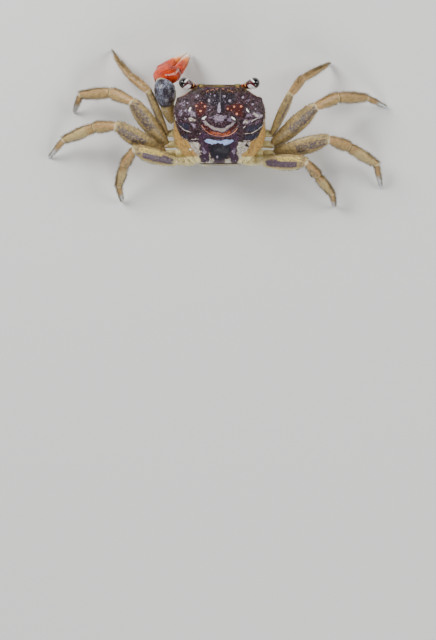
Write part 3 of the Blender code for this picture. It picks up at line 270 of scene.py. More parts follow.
# Markings of the back: outlines, spots (x, y, radius) and lines, read off in the crab's own frame
BACK_AREAS = {
    "black": [
        [(5.4, -10.6), (1.7, -11.1), (0, -11.3), (-2.9, -10.9), (-5.2, -10.4), (-5.4, -8.3), (-4, -6.9),
         (-2, -6.2), (-1.7, -3.9), (1.3, -3.9), (1.7, -5.8), (3.6, -7.2), (4.9, -8.1), (5.6, -9.5)],
    ],
    "lilac": [
        [(0.7, -3.5), (-1.5, -3.5), (-1.7, -2.1), (-1, -0.5), (0.3, -0.5), (0.9, -2.1)],
        [(3.7, -3.1), (2, -3.2), (1.7, -1.6), (2.9, -1.6), (3.6, -2.1)],
        [(-2.4, -2.3), (-3.8, -3), (-4.9, -1.6), (-3.6, -0.7), (-2.2, -0.7)],
        [(11.6, -5.3), (10.2, -5.3), (10, -3.5), (11.4, -3.9)],
        [(13.7, -5.3), (11.9, -5.8), (11.6, -3.5), (13.2, -2.5)],
        [(-8.6, -4.4), (-10.7, -3.9), (-10.5, -2.3), (-8.2, -2.3)],
        [(9.3, -0.5), (7.7, -0.7), (7.3, 1.1), (8.6, 1.6)],
        [(-9.1, -0.7), (-11.9, -1.6), (-13.7, -2.5), (-13.9, -1.6), (-12.1, -0.5), (-9.8, 0.2)],
        [(-3.6, 2.3), (-5.2, 1.6), (-5.4, 3.4), (-4.3, 3.2)],
        [(5.9, 1.4), (4.9, 2.1), (5.4, 3.2), (6.1, 2.7)],
        [(13.7, -7.4), (11.9, -8.3), (10.9, -6.7), (12.5, -5.8)],
        [(-8.2, -8.5), (-9.8, -9), (-10.5, -7.6), (-8.6, -7.4)],
    ],
    "steel": [
        [(13.5, -1.1), (11.9, -0.7), (10.1, -0.6), (9.8, 0.2), (9.8, 1.8), (11.2, 1.5), (12.9, 0.2)],
        [(-9.8, 0.2), (-11.9, 0), (-13.7, -0.9), (-14.3, -0.5), (-13.7, 0.9), (-11.6, 1.8), (-9.1, 2.2),
         (-8.6, 1.1)],
        [(12.9, 2.5), (11.9, 3.1), (10.2, 3.1), (10.2, 4.1), (11.6, 3.9)],
        [(-8.2, 3.4), (-10.2, 3.1), (-12.8, 2.1), (-13.8, 2.2), (-12.8, 3.9), (-10.9, 4.7), (-8.4, 4.6)],
    ],
    "purple": [
        [(7.3, 3.9), (5.9, 2.5), (4, 2.9), (1.7, 3.4), (-0.6, 3.7), (-2.9, 3.2), (-4.9, 2.3), (-6.3, 3.9),
         (-6.6, 5.3), (-4.9, 5.5), (-4.3, 4.6), (-2.2, 3.9), (0.1, 4.6), (4, 3.8), (5.4, 4.8), (7, 4.8)],
        [(6.4, 5.1), (5.3, 4.7), (4.2, 5.1), (3.4, 6.5), (3.4, 8.2), (3.7, 9.7), (3.4, 11.2), (4, 12.1),
         (5.3, 12.3), (6.4, 11.8), (6.5, 10.6), (6.1, 9.4), (6.5, 7.9), (6.2, 6.5)],
        [(-3.3, 5.9), (-4, 5), (-5.5, 4.7), (-6.5, 5.1), (-6.3, 5.9), (-5.7, 6.8), (-6, 8.2), (-5.7, 9.7),
         (-6.3, 11.2), (-6, 12.4), (-4.7, 12.6), (-3.7, 11.8), (-3.1, 10.3), (-3.3, 8.5), (-3.4, 7.1)],
        [(2.1, 10.6), (-1.8, 10.6), (-1.6, 12.1), (-0.8, 12.6), (0.7, 12.6), (1.7, 12.1)],
    ],
    "ink": [
        [(10.2, 6.8), (9.8, 6.5), (9.3, 6.8), (9.5, 7.3), (10, 7.4)],
        [(-8.4, 6.5), (-9.1, 6.2), (-9.3, 6.9), (-8.7, 7.2)],
        [(-9, 7.8), (-9.4, 7.6), (-9.6, 8.2), (-9.1, 8.3)],
        [(10.2, 5.3), (9.8, 5.2), (9.8, 5.6), (10.1, 5.7)],
        [(3.7, 6.5), (1.8, 6.5), (0.4, 6.1), (-1.1, 6.5), (-3.6, 6.2), (-3.6, 7.9), (-3.1, 9.7),
         (-2.4, 10.9), (-1.1, 11), (0.7, 11.2), (2.1, 10.9), (3, 9.7), (3.6, 7.9)],
    ],
    "rust": [
        [(8.1, -6.6), (7.4, -7.3), (6.3, -7.7), (5.3, -7.6), (4, -6.7), (3.9, -5.7), (4.6, -4.4),
         (5.4, -3.1), (6.8, -2.9), (7.5, -3.6), (7.9, -4.7), (7.6, -5.7)],
        [(-2.4, -6), (-3.6, -6.6), (-4.8, -7), (-6.1, -7.2), (-7.6, -6.7), (-7.9, -5.7), (-7.4, -4.6),
         (-8.1, -3.1), (-7, -2.8), (-6, -3.1), (-4.9, -3.8), (-4, -4.4), (-2.5, -4.7)],
        [(5.9, 0.1), (4.5, 1.8), (3, 2.8), (1.5, 3.3), (-0.8, 3.5), (-3.1, 3.1), (-4.6, 2.2), (-5.7, 0.9),
         (-6, -0.4), (-5.5, -0.7), (-4.3, 0.4), (-2.8, 1.6), (-0.8, 2.4), (1.5, 1.9), (3, 1), (4.5, -0.1),
         (5.5, -0.4)],
    ],
    "orange": [
        [(3, 1.8), (1.5, 2.1), (-0.8, 2.6), (-2.8, 1.9), (-4, 1.8), (-3.1, 3.1), (-0.8, 3.5), (1.5, 3.3),
         (3.3, 2.6)],
    ],
    "arc": [
        [(5.6, -1.2), (4.8, 0.1), (3.4, 0.9), (1.8, 1.8), (-0.8, 2.4), (-2.8, 1.6), (-4.4, 0.2), (-5.5, -1),
         (-4.6, -1.5), (-3.6, -0.4), (-2.2, 0.4), (-0.8, 1.1), (1.3, 0.7), (3, -0.3), (4.2, -1.4),
         (4.9, -1.7)],
    ],
    "cream": [
        [(10.4, -2.2), (9.4, -2.6), (8.4, -2.2), (7.4, -1.8), (8.1, -1.1), (9.7, -1.2)],
        [(-10.8, -4.1), (-12, -3.8), (-13, -3.1), (-12.6, -2.5), (-11.6, -2.9), (-11, -3.5)],
        [(-7.6, -1.5), (-9.4, -1.7), (-9.5, -0.9), (-7.8, -0.5)],
    ],
    "haze": [
        [(10.3, -4.7), (9.3, -5.1), (8.1, -4.6), (7.7, -3.2), (8.1, -2.4), (9.4, -2.5), (10.1, -3.4)],
        [(11.6, -2.6), (10.6, -2.6), (10.3, -1.9), (10.9, -1.4), (11.5, -1.8)],
        [(-10.4, -4.4), (-12.2, -4.1), (-14.2, -3.8), (-14.3, -2.6), (-13, -1.9), (-11.6, -2.4),
         (-10.6, -3.2)],
        [(-7.1, -1.9), (-8.4, -2.1), (-9.8, -1.9), (-11, -2.6), (-11.3, -1.9), (-9.8, -0.4), (-7.8, -0.2),
         (-7.1, -0.9)],
        [(2.3, -3.4), (-0.1, -3.8), (-2.2, -3.4), (-2.8, -2.1), (-1.1, -0.9), (1.3, -0.7), (2.1, -1.9)],
        [(9.9, -0.4), (8.4, -0.9), (7.5, 0.3), (7.7, 1.8), (8.7, 1.3)],
        [(5.8, 7.4), (4.5, 7.2), (4.2, 8.8), (4.8, 9.7), (5.8, 9.1)],
        [(-4, 7.5), (-5.5, 7.4), (-5.6, 9.1), (-4.6, 9.7), (-3.8, 8.8)],
    ],
    "ice": [
        [(4.8, 5.1), (4.2, 4.6), (3, 4.5), (1.8, 4.7), (0.7, 5.1), (-0.5, 5.1), (-1.1, 4.7), (-2.4, 4.6),
         (-4, 4.8), (-4.6, 5.2), (-4, 5.7), (-3.1, 6.3), (-1.7, 6.5), (-0.8, 6.1), (0.4, 5.9), (1.8, 6.2),
         (3.3, 6.2), (4.3, 5.9)],
    ],
    "streaks": [
        [(10, -4.7), (9.7, -5.8), (9.3, -6), (9.1, -5.7), (9.6, -4.5)],
        [(-8.6, -5.6), (-9, -5.7), (-9.7, -4.7), (-9.6, -4.3), (-9, -4.8)],
        [(5.9, -2.1), (5.3, -2.7), (4.4, -3.1), (4.3, -2.8), (5.2, -1.9)],
        [(-3.8, -3), (-4.1, -3), (-5.4, -2), (-5.3, -1.6), (-4.3, -2.1)],
        [(10.1, 7.8), (9.6, 7.6), (9, 7.9), (9.4, 8.2), (10, 8.1)],
    ],
}
# How softly each area ends, in mm, and the areas whose edges are uneven most of all
AREA_FADE = {"black": 1.8, "lilac": 1.6, "steel": 0.8, "purple": 1.0, "ink": 0.8, "rust": 0.8, "orange": 0.6,
             "arc": 1.1, "cream": 0.8, "haze": 1.1, "ice": 0.5, "streaks": 0.25}
RAGGED = ("purple", "ink", "lilac", "black", "haze")
PALE_SPOTS = [
    (2.9, -10.2, 0.23), (1.5, -9.7, 0.35), (-1.7, -9.5, 0.44), (3.4, -8.1, 0.55), (-3.4, -8, 0.6),
    (-2, -7.9, 0.18), (10.5, -7.3, 0.41), (11.5, -7.9, 0.3), (-10.9, -6.9, 0.46), (-9, -7.1, 0.21),
    (-8.9, -5.5, 0.25), (12.3, -3.8, 0.32), (11.2, -4.8, 0.41), (12.5, -4.8, 0.25), (7.6, -9.3, 0.37),
    (7, -9.7, 0.41), (-7.7, -9.1, 0.46), (0.8, 10.3, 0.51), (7.8, 0, 0.21), (6.4, -8.1, 0.21),
    (3.1, -5.1, 0.3), (10.9, -2.1, 0.28), (-11.9, -5.3, 0.28), (5.3, 7.4, 0.23), (5.9, 8.6, 0.32),
    (4.8, 10.9, 0.23), (-4.3, 8.7, 0.28), (-5.2, 11.5, 0.23), (-4.8, 7.6, 0.18), (13.1, -4.2, 0.18),
    (1.7, -11.3, 0.18), (-6.6, -7.4, 0.21)
]
PEACH_SPOTS = [
    (7.5, -6.3, 0.46), (5.8, -7.3, 0.3), (4.8, -6.2, 0.46), (6.2, -4.6, 0.51), (7, -5.3, 0.16),
    (-2.8, -5.3, 0.39), (-4.8, -6, 0.46), (-7.1, -6.1, 0.51), (-5.7, -3.7, 0.51), (-5.7, -7.2, 0.18),
    (-4, -4.8, 0.21), (-6.4, -4.8, 0.16)
]
FRONT_DASHES = [
    [(4.3, -11), (3.6, -11.3)], [(2.8, -11.5), (1.9, -11.7)], [(1.3, -11.8), (0.3, -12.1)],
    [(-0.9, -12), (-1.5, -11.8)], [(-2.6, -11.6), (-3.5, -11.4)], [(-3.8, -11.1), (-4.5, -10.9)]
]
BACK_GROOVES = [
    [(3.6, -3.7), (4.1, -2.5), (3.8, -1.2), (2.9, -0.2)],
    [(1.8, -7.4), (1.1, -5.4), (1.8, -4.0), (3.4, -3.8)],
    [(-1.7, -6.8), (-1.3, -5.0), (-2.2, -3.8), (-4.0, -3.7)],
    [(-4.0, -3.7), (-5.0, -2.6), (-5.7, -1.7), (-7.1, -1.2)],
    [(4.6, -3.5), (5.6, -2.6), (7.1, -1.8)],
]
PEACH_LINE = [
    (5.9, 0.1), (4.6, 1.9), (3, 2.9), (1.5, 3.5), (-0.8, 3.7), (-3.1, 3.3), (-4.7, 2.4), (-5.8, 1.1)
]
PALE_LINES = [
    [(14.7, -3.5), (14.2, -1.6), (13.2, 0.0), (11.6, 1.5), (9.3, 2.3)],
    [(14.0, 1.4), (12.9, 3.4), (11.2, 4.5), (8.6, 4.6), (6.9, 4.5)],
    [(6.2, 2.5), (7.9, 4.5)],
    [(-14.7, -2.1), (-14.3, 0.0), (-12.5, 1.6), (-10.7, 2.5), (-8.4, 2.9)],
    [(-14.0, 1.8), (-12.8, 3.9), (-10.9, 4.9), (-7.9, 5.1)],
    [(-14.2, -3.5), (-12.1, -2.1), (-9.3, -0.5), (-7.9, 0.9)],
]
MEDIAN_WEDGE = [(0.05, -11.2, 0.12), (0.05, -9.2, 0.16), (0.05, -7.4, 0.3), (0.1, -6, 0.6), (0.1, -5, 0.75)]
# Raised lines of both sides, and grooves
BRANCHIAL_LINES = [[(14.7, -3.5), (14.2, -1.6), (13.2, 0.0), (11.6, 1.5), (9.0, 2.4)], PALE_LINES[1],
                   [(14.0, -2.6), (12.0, -1.8), (9.4, -0.3), (8.0, 0.9)]]
GROOVES = [[(0.5, -5.2), (2.4, -4.5), (3.6, -3.6), (3.9, -2.4), (3.2, -1.2)],
           [(3.9, -2.6), (5.4, -2.2), (6.6, -1.0), (6.8, 0.8), (6.2, 2.4)], [(0.0, -12.6), (0.0, -5.0)],
           [(3.4, -12.0), (3.2, -10.4)], [(6.2, -11.6), (5.2, -9.8), (3.9, -8.8)],
           [(6.2, 2.6), (5.2, 4.6), (4.9, 8.6)]]
# How far the front edge is drawn back in its middle, and half the width of that hollow
FRONT_HOLLOW = 0.7
FRONT_HOLLOW_HALF = 5.4
FRONT_KNOB = (5.9, -12.9, 20.7)
# Layers of the carapace's finish: mask, colour, strength, and size and cover of the blotches in it
CARAPACE_LAYERS = [
    ("bare", "ochre", 0.85), ("black", "ink", 0.8, 0.6, 0.66), ("lilac", "lilac", 0.75, 0.42, 0.6),
    ("steel", "steel", 0.9, 0.7, 0.85), ("purple", "purple", 0.9, 0.45, 0.76),
    ("rust", "rust", 0.95, 0.5, 0.86), ("rust", "back", 0.6, 0.35, 0.46),
    ("orange", "orange", 0.85, 0.3, 0.58), ("orange", "peach", 0.6, 0.3, 0.42),
    ("haze", "lilac", 0.75, 0.5, 0.64), ("haze", "cream_light", 0.5, 0.4, 0.44),
    ("arc", "lilac", 0.8, 0.5, 0.8), ("arc", "cream", 0.8, 0.45, 0.62),
    ("arc", "cream_light", 0.7, 0.4, 0.46), ("cream", "cream", 0.9, 0.5, 0.84),
    ("cream", "cream_light", 0.85, 0.45, 0.56), ("cream", "slate", 0.45, 0.6, 0.42),
    ("cream", "shade", 0.6, 0.35, 0.42), ("marked", "back", 0.75, 0.5, 0.42),
    ("marked", "spots", 0.5, 0.45, 0.36), ("marked", "back", 0.6, 0.2, 0.4),
    ("grooves", "back", 0.85, 0.5, 0.85), ("lines", "cream_light", 0.75, 0.45, 0.8),
    ("ink", "ink", 0.9, 0.6, 0.9), ("ochre", "ochre", 0.95, 1, 0.95), ("ochre", "sill", 0.5, 1.6, 0.42),
    ("ochre", "gold_pale", 0.7, 0.9, 0.52), ("ochre", "cream", 0.5, 0.4, 0.42),
    ("ochre", "shade", 0.35, 0.5, 0.38), ("bulb", "leg_pale", 0.9), ("ice", "ice", 0.6, 0.45, 0.95),
    ("ice", "ice", 0.9, 0.45, 0.56), ("ice", "steel", 0.4, 0.35, 0.4), ("cheek", "cheek", 0.8, 1.6, 0.8),
    ("violet_and_shade", "violet_and_shade", 0.8, 1.4, 0.75), ("blush", "lilac_pale", 0.8, 1.2, 0.75),
    ("sill", "sill", 0.85, 0.5, 0.66), ("frown", "night", 0.75, 0.5, 0.42),
    ("frown", "peach", 0.6, 0.35, 0.36), ("shade", "shade", 0.85, 0.5, 0.75),
    ("ridge", "ridge", 0.85, 0.7, 0.8), ("lip", "peach", 0.8, 0.6, 0.7),
    ("epistome", "night", 0.95, 0.9, 0.85), ("teal", "teal", 0.9), ("lobes", "purple", 0.8, 0.5, 0.66),
    ("olive", "olive", 0.9, 0.45, 0.68), ("pink", "peach", 0.85, 0.4, 0.7),
    ("wall_line", "shade", 0.7, 0.8, 0.75), ("peach", "peach", 0.85, 0.35, 0.88),
    ("spots", "spots", 0.75, 0.35, 0.85), ("streaks", "white", 0.95, 0.35, 0.95)
]
# Four low lobes along the front edge, as height, place and half widths
FRONT_LOBES = [
    (0.22, 1.9, -12.35, 1.2, 0.5), (0.2, 5, -12.3, 1.1, 0.5), (-0.2, 0, -12.6, 0.5, 0.7),
    (-0.16, 3.5, -12.4, 0.35, 0.6)
]
# Depth, height and half width of the grooves and raised lines of the back
GROOVE_DEPTH = 0.16
GROOVE_HALF_WIDTH = 0.28
LINE_HEIGHT = 0.16
LINE_HALF_WIDTH = 0.22
# Columns of the carapace's left half: on the back, down the side wall and below
TOP_COLUMNS = 104
WALL_COLUMNS = 26
UNDER_COLUMNS = 64

# Bristles: how deep a root is sunk, the lowest height of any point, and the side of one's patch in its map
SETA_SINK = 0.06
SETA_FLOOR = 0.04
PATCH_SIZE = 0.003
# For each segment of a leg: the share of the leg's full number of bristles and of their length
SETAE_BY_KIND = {"hip": (0.25, 0.5), "merus": (0.55, 0.7), "carpus": (0.6, 0.8), "propodus": (1.0, 1.0),
                 "dactylus": (0.6, 0.7)}


# Curves and vectors


def unit(vector):
    vector = np.asarray(vector, dtype=float)
    return vector / np.linalg.norm(vector, axis=-1, keepdims=True)


def curve(knots):
    """A smooth function through (x, y) knots that never overshoots them, for numbers or arrays."""
    xs, ys = np.array(knots, dtype=float).T
    steps = np.diff(xs)
    rises = np.diff(ys) / steps
    slopes = np.zeros(len(xs))
    slopes[0], slopes[-1] = rises[0], rises[-1]
    products = rises[:-1] * rises[1:]
    sums = np.where(products > 0, rises[:-1] + rises[1:], 1.0)
    slopes[1:-1] = np.where(products > 0, 2 * products / sums, 0.0)

    def value(x):
        x = np.clip(x, xs[0], xs[-1])
        i = np.clip(np.searchsorted(xs, x, side="right") - 1, 0, len(steps) - 1)
        t = (x - xs[i]) / steps[i]
        held = (2 * t**3 - 3 * t**2 + 1) * ys[i] + (3 * t**2 - 2 * t**3) * ys[i + 1]
        bent = (t**3 - 2 * t**2 + t) * slopes[i] + (t**3 - t**2) * slopes[i + 1]
        return held + bent * steps[i]
    return value


def ramp(value, start, width):
    """Rises softly from 0 at start to 1 at start plus width."""
    t = np.clip((value - start) / width, 0.0, 1.0)
    return t * t * (3 - 2 * t)


def fall(value, start, width):
    return 1 - ramp(value, start, width)


def rows_between(rows, count):
    """Rows of numbers blended smoothly into a longer list of rows."""
    places = np.linspace(0, len(rows) - 1, count)
    columns = zip(*rows)
    return np.stack([curve(list(enumerate(column)))(places) for column in columns], axis=1)


def noise(points, size, seed):
    """Smooth noise from -1 to 1 at points in millimetres, in blotches of about the given size."""
    cells = 32
    table = np.random.RandomState(seed).uniform(-1, 1, (cells, cells, cells))
    points = np.asarray(points, dtype=float) / size
    base = np.floor(points).astype(int)
    share = points - base
    share = share * share * (3 - 2 * share)
    total = np.zeros(points.shape[:-1])
    for corner in np.ndindex(2, 2, 2):
        weight = np.prod(np.where(np.array(corner) == 1, share, 1 - share), axis=-1)
        i, j, k = np.moveaxis((base + corner) % cells, -1, 0)
        total += weight * table[i, j, k]
    return total


def route_distance(x, y, route):
    """Distance of points from a line of straight stretches."""
    nearest = np.full(np.shape(x), 1e9)
    for (x0, y0), (x1, y1) in zip(route, route[1:]):
        dx, dy = x1 - x0, y1 - y0
        t = np.clip(((x - x0) * dx + (y - y0) * dy) / (dx * dx + dy * dy), 0, 1)
        nearest = np.minimum(nearest, np.hypot(x - x0 - t * dx, y - y0 - t * dy))
    return nearest


def mirrored(points, side):
    """A point or points given for the left side, on the side that is meant."""
    return np.array(points, dtype=float) * (side, 1, 1)


ridge_half = curve(RIDGE_HALF)
wall_half = curve(WALL_HALF)
low_half = curve(LOW_HALF)
low_height = curve(LOW_HEIGHT)
mid_height = curve(MID_HEIGHT)
ridge_height = curve(RIDGE_HEIGHT)
mouth_height = curve(MOUTH_HEIGHT)
mouth_half = curve(MOUTH_HALF)
cheek_height = curve(CHEEK_HEIGHT)
sternum_half = curve(STERNUM_HALF)
sternum_top = curve(STERNUM_TOP)
sternum_low = curve(STERNUM_LOW)
pleon_half = curve(PLEON_HALF)


# Making pieces


def grid_part(rings, **masks):
    """A closed skin over rings of points, with a flat face at each end and a mask value at each point."""
    count, around = rings.shape[:2]
    index = np.arange(count * around).reshape(count, around)
    after = np.roll(index, -1, axis=1)
    faces = np.stack([index[:-1], after[:-1], after[1:], index[1:]], axis=-1).reshape(-1, 4).tolist()
    faces.append(index[0][::-1].tolist())
    faces.append(index[-1].tolist())
    flat = {name: np.broadcast_to(value, (count, around)).ravel() for name, value in masks.items()}
    return rings.reshape(-1, 3), faces, flat


def circles(broad, flat, sides):
    """Unit circles spanned by two directions, or by two rows of directions."""
    turn = 2 * math.pi * np.arange(sides) / sides
    return np.cos(turn)[:, None] * broad[..., None, :] + np.sin(turn)[:, None] * flat[..., None, :]


def spine_part(root, direction, length, radius, sides=10, rows=7, bluntness=0.35, **masks):
    """A rounded cone whose base is sunk into what it grows from."""
    direction = unit(direction)
    share = np.linspace(0, 0.985, rows)
    radii = radius * (1 - share) ** bluntness * (1 - 0.35 * share)
    circle = circles(*frame_at(direction, np.array((0.3, 0.5, 0.8))), sides)
    rings = np.asarray(root) + direction * (share * length)[:, None, None] + circle * radii[:, None, None]
    return grid_part(rings, **masks)


def ball_part(centre, half, tilt=0.0, levels=24, sides=32, **masks):
    """A closed egg shape, leaning by tilt degrees towards +X."""
    lean = math.radians(tilt)
    polar = np.linspace(0.03, math.pi - 0.03, levels)[:, None]
    turn = (2 * math.pi * np.arange(sides) / sides)[None]
    x = half[0] * np.sin(polar) * np.cos(turn)
    y = half[1] * np.sin(polar) * np.sin(turn)
    z = -half[2] * np.cos(polar) * np.ones_like(turn)
    cosine, sine = math.cos(lean), math.sin(lean)
    leaned = np.stack([x * cosine + z * sine, y, z * cosine - x * sine], axis=-1)
    return grid_part(np.asarray(centre) + leaned, **masks)


def add_object(name, mesh, finish, node=None):
    """Places a mesh on the crab as one finished object, which stands for the given node."""
    mesh.materials.append(finish)
    mesh.shade_smooth()
    piece = bpy.data.objects.new(name, mesh)
    bpy.context.scene.collection.objects.link(piece)
    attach(piece, "root")
    if node:
        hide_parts(node)


def add_piece(name, parts, finish, node=None, sharp=50):
    """Joins parts into one named piece, with edges kept sharp above an angle."""
    points, faces, offset = [], [], 0
    for part_points, part_faces, _ in parts:
        points.append(part_points)
        faces.extend([[i + offset for i in face] for face in part_faces])
        offset += len(part_points)
    placed = (np.concatenate(points) + PLAN_SHIFT) * MM
    mesh = bpy.data.meshes.new(name)
    mesh.from_pydata(placed.tolist(), [], faces)
    for mask in dict.fromkeys(mask for part in parts for mask in part[2]):
        column = [part_masks.get(mask, np.zeros(len(part_points))) for part_points, _, part_masks in parts]
        layer = mesh.attributes.new(mask, "FLOAT", "POINT")
        layer.data.foreach_set("value", np.concatenate(column).astype(np.float32))
    shape = bmesh.new()
    shape.from_mesh(mesh)
    bmesh.ops.recalc_face_normals(shape, faces=shape.faces[:])
    shape.to_mesh(mesh)
    shape.free()
    add_object(name, mesh, finish, node)
    mesh.set_sharp_from_angle(angle=math.radians(sharp))


# Setae: thin bent bristles, each a closed three-sided spike


def surface_normals(rings):
    """Outward directions of a grid of rings."""
    along = np.gradient(rings, axis=0)
    around = np.roll(rings, -1, axis=1) - np.roll(rings, 1, axis=1)
    normals = np.cross(around, along)
    normals /= np.linalg.norm(normals, axis=-1, keepdims=True) + 1e-12
    outward = np.sum(normals * (rings - rings.mean(axis=1, keepdims=True)), axis=-1).mean()
    return normals * (1 if outward > 0 else -1), along


def tuft(rings, weight, count, draw, lean, length, radius, spread=0.25, bend=0.25):
    """Bristles sown on a grid of rings, more where weight is high; lean tips them along the surface."""
    normals, along = surface_normals(rings)
    chance = np.clip(np.broadcast_to(weight, rings.shape[:2]), 0, None)[:-1].ravel()
    rows, columns = rings.shape[0] - 1, rings.shape[1]
    chosen = draw.choice(rows * columns, size=count, p=chance / chance.sum())
    i, j = chosen // columns, chosen % columns
    a, b = draw.uniform(size=(2, count, 1))
    after = (j + 1) % columns
    roots = (rings[i, j] * (1 - a) + rings[i + 1, j] * a) * (1 - b)
    roots += (rings[i, after] * (1 - a) + rings[i + 1, after] * a) * b
    patch = np.stack([(i + a[:, 0]) / rows, (j + b[:, 0]) / columns], axis=1)
    forward = unit(along[i, j] + 1e-9)
    direction = unit(normals[i, j] + forward * lean + draw.normal(0, spread, (count, 3)))
    return {"root": roots - direction * SETA_SINK, "direction": direction,
            "length": length * draw.uniform(0.55, 1.15, (count, 1)), "radius": np.full((count, 1), radius),
            "bend": forward * bend, "patch": patch}


def add_setae(name, tufts, finish):
    """One mesh of bristles, with a small patch of the OFBake map for each at its root's place."""
    joined = {key: np.concatenate([made[key] for made in tufts]) for key in tufts[0]}
    root, direction, length = joined["root"], joined["direction"], joined["length"]
    circle = circles(*frame_at(direction, np.array((0.31, 0.52, 0.79))), 3)
    stations = []
    for share, width in ((0.0, 1.0), (0.5, 0.75)):
        centre = root + direction * length * share + joined["bend"] * length * share**2
        stations.append(centre[:, None] + circle * joined["radius"][:, None] * width)
    tip = root + direction * length + joined["bend"] * length
    points = np.concatenate([*stations, tip[:, None]], axis=1)
    points[..., 2] = np.maximum(points[..., 2], SETA_FLOOR)
    pattern = [(2, 1, 0)]
    for i in range(3):
        j = (i + 1) % 3
        pattern += [(i, j, 3 + j), (i, 3 + j, 3 + i), (3 + i, 3 + j, 6)]
    faces = (np.array(pattern)[None] + (np.arange(len(root)) * 7)[:, None, None]).reshape(-1, 3)
    mesh = bpy.data.meshes.new(name)
    mesh.from_pydata(((points.reshape(-1, 3) + PLAN_SHIFT) * MM).tolist(), [], faces.tolist())
    spots = np.array([(-1, -1), (0, -1), (1, -1), (-1, 0), (0, 0), (1, 0), (0, 1)]) * PATCH_SIZE / 2
    map_points = (0.02 + 0.96 * joined["patch"][:, None] + spots[None]).reshape(-1, 2)
    layer = mesh.uv_layers.new(name="OFBake")
    layer.data.foreach_set("uv", map_points[faces.ravel()].astype(np.float32).ravel())
    add_object(name, mesh, finish)


# Finishes


def linear(red, green, blue):
    """A colour read off a screen, from 0 to 255, as the scene-linear values that shaders use."""
    def channel(value):
        value /= 255
        return value / 12.92 if value <= 0.04045 else ((value + 0.055) / 1.055) ** 2.4
    return (channel(red), channel(green), channel(blue))


def new_group(name, output, **inputs):
    """A node group of plain numbers, with the sockets that its nodes read and fill."""
    group = bpy.data.node_groups.new(name, "ShaderNodeTree")
    for socket, default in inputs.items():
        made = group.interface.new_socket(socket, in_out="INPUT", socket_type="NodeSocketFloat")
        made.default_value = default
    group.interface.new_socket(output, in_out="OUTPUT", socket_type="NodeSocketFloat")
    return group, group.nodes.new("NodeGroupInput").outputs, group.nodes.new("NodeGroupOutput").inputs[output]


def math_node(tree, operation, first, second=None, clamp=False):
    node = tree.nodes.new("ShaderNodeMath")
    node.operation = operation
    node.use_clamp = clamp
    for socket, value in zip(node.inputs, (first, second)):
        if isinstance(value, (int, float)):
            socket.default_value = value
        elif value is not None:
            tree.links.new(value, socket)
    return node.outputs[0]


def spread_between(tree, value, low, high):
    """Turns values from low to high, both sockets, into 0 to 1."""
    node = tree.nodes.new("ShaderNodeMapRange")
    node.interpolation_type = "SMOOTHSTEP"
    for socket, source in (("Value", value), ("From Min", low), ("From Max", high)):
        tree.links.new(source, node.inputs[socket])
    return node.outputs["Result"]


def sized_texture(tree, kind, size):
    """A noise or cell texture whose features are about the given number of millimetres."""
    place = tree.nodes.new("ShaderNodeTexCoord")
    texture = tree.nodes.new(kind)
    tree.links.new(place.outputs["Object"], texture.inputs["Vector"])
    tree.links.new(math_node(tree, "DIVIDE", 1 / MM, size), texture.inputs["Scale"])
    return texture


def mottling_group():
    """Blotches with soft, uneven edges."""
    group, given, mask = new_group("Mottling", "Mask", Size=1.0, Cover=0.5, Edge=0.1)
    texture = sized_texture(group, "ShaderNodeTexNoise", given["Size"])
    texture.inputs["Detail"].default_value = 4.0
    texture.inputs["Roughness"].default_value = 0.62
    middle = math_node(group, "SUBTRACT", 1.0, given["Cover"])
    low = math_node(group, "SUBTRACT", middle, given["Edge"])
    high = math_node(group, "ADD", middle, given["Edge"])
    group.links.new(spread_between(group, texture.outputs["Fac"], low, high), mask)
    return group


def grain_group():
    """Fine granules and pits of the shell, as a height."""
    group, given, height = new_group("Shell grain", "Height", Size=0.3, Pits=0.5)
    cells = sized_texture(group, "ShaderNodeTexVoronoi", given["Size"])
    rough = sized_texture(group, "ShaderNodeTexNoise", math_node(group, "MULTIPLY", given["Size"], 2.5))
    rough.inputs["Detail"].default_value = 5.0
    domes = math_node(group, "SUBTRACT", 1.0, cells.outputs["Distance"])
    pitted = math_node(group, "MULTIPLY", domes, given["Pits"])
    group.links.new(math_node(group, "ADD", pitted, rough.outputs["Fac"]), height)
    return group


def specks_group():
    """Small separate dots."""
    group, given, mask = new_group("Specks", "Mask", Size=0.6, Radius=0.25)
    cells = sized_texture(group, "ShaderNodeTexVoronoi", given["Size"])
    inner = math_node(group, "MULTIPLY", given["Radius"], 0.5)
    outside = spread_between(group, cells.outputs["Distance"], inner, given["Radius"])
    group.links.new(math_node(group, "SUBTRACT", 1.0, outside), mask)
    return group


GROUPS = {"Mottling": mottling_group, "Shell grain": grain_group, "Specks": specks_group}


def use_group(tree, name, **values):
    """Places a shared group, which is built the first time, with its own values or linked sockets."""
    node = tree.nodes.new("ShaderNodeGroup")
    node.node_tree = bpy.data.node_groups.get(name) or GROUPS[name]()
    for key, value in values.items():
        socket = node.inputs[key.capitalize()]
        if isinstance(value, bpy.types.NodeSocket):
            tree.links.new(value, socket)
        else:
            socket.default_value = value
    return node.outputs[0]


def mix_colour(tree, mask, below, above):
    node = tree.nodes.new("ShaderNodeMix")
    node.data_type = "RGBA"
    factor, low, high = node.inputs["Factor"], node.inputs[6], node.inputs[7]
    tree.links.new(mask, factor)
    for socket, colour in ((low, below), (high, above)):
        if isinstance(colour, bpy.types.NodeSocket):
            tree.links.new(colour, socket)
        else:
            socket.default_value = (*colour, 1.0)
    return node.outputs[2]


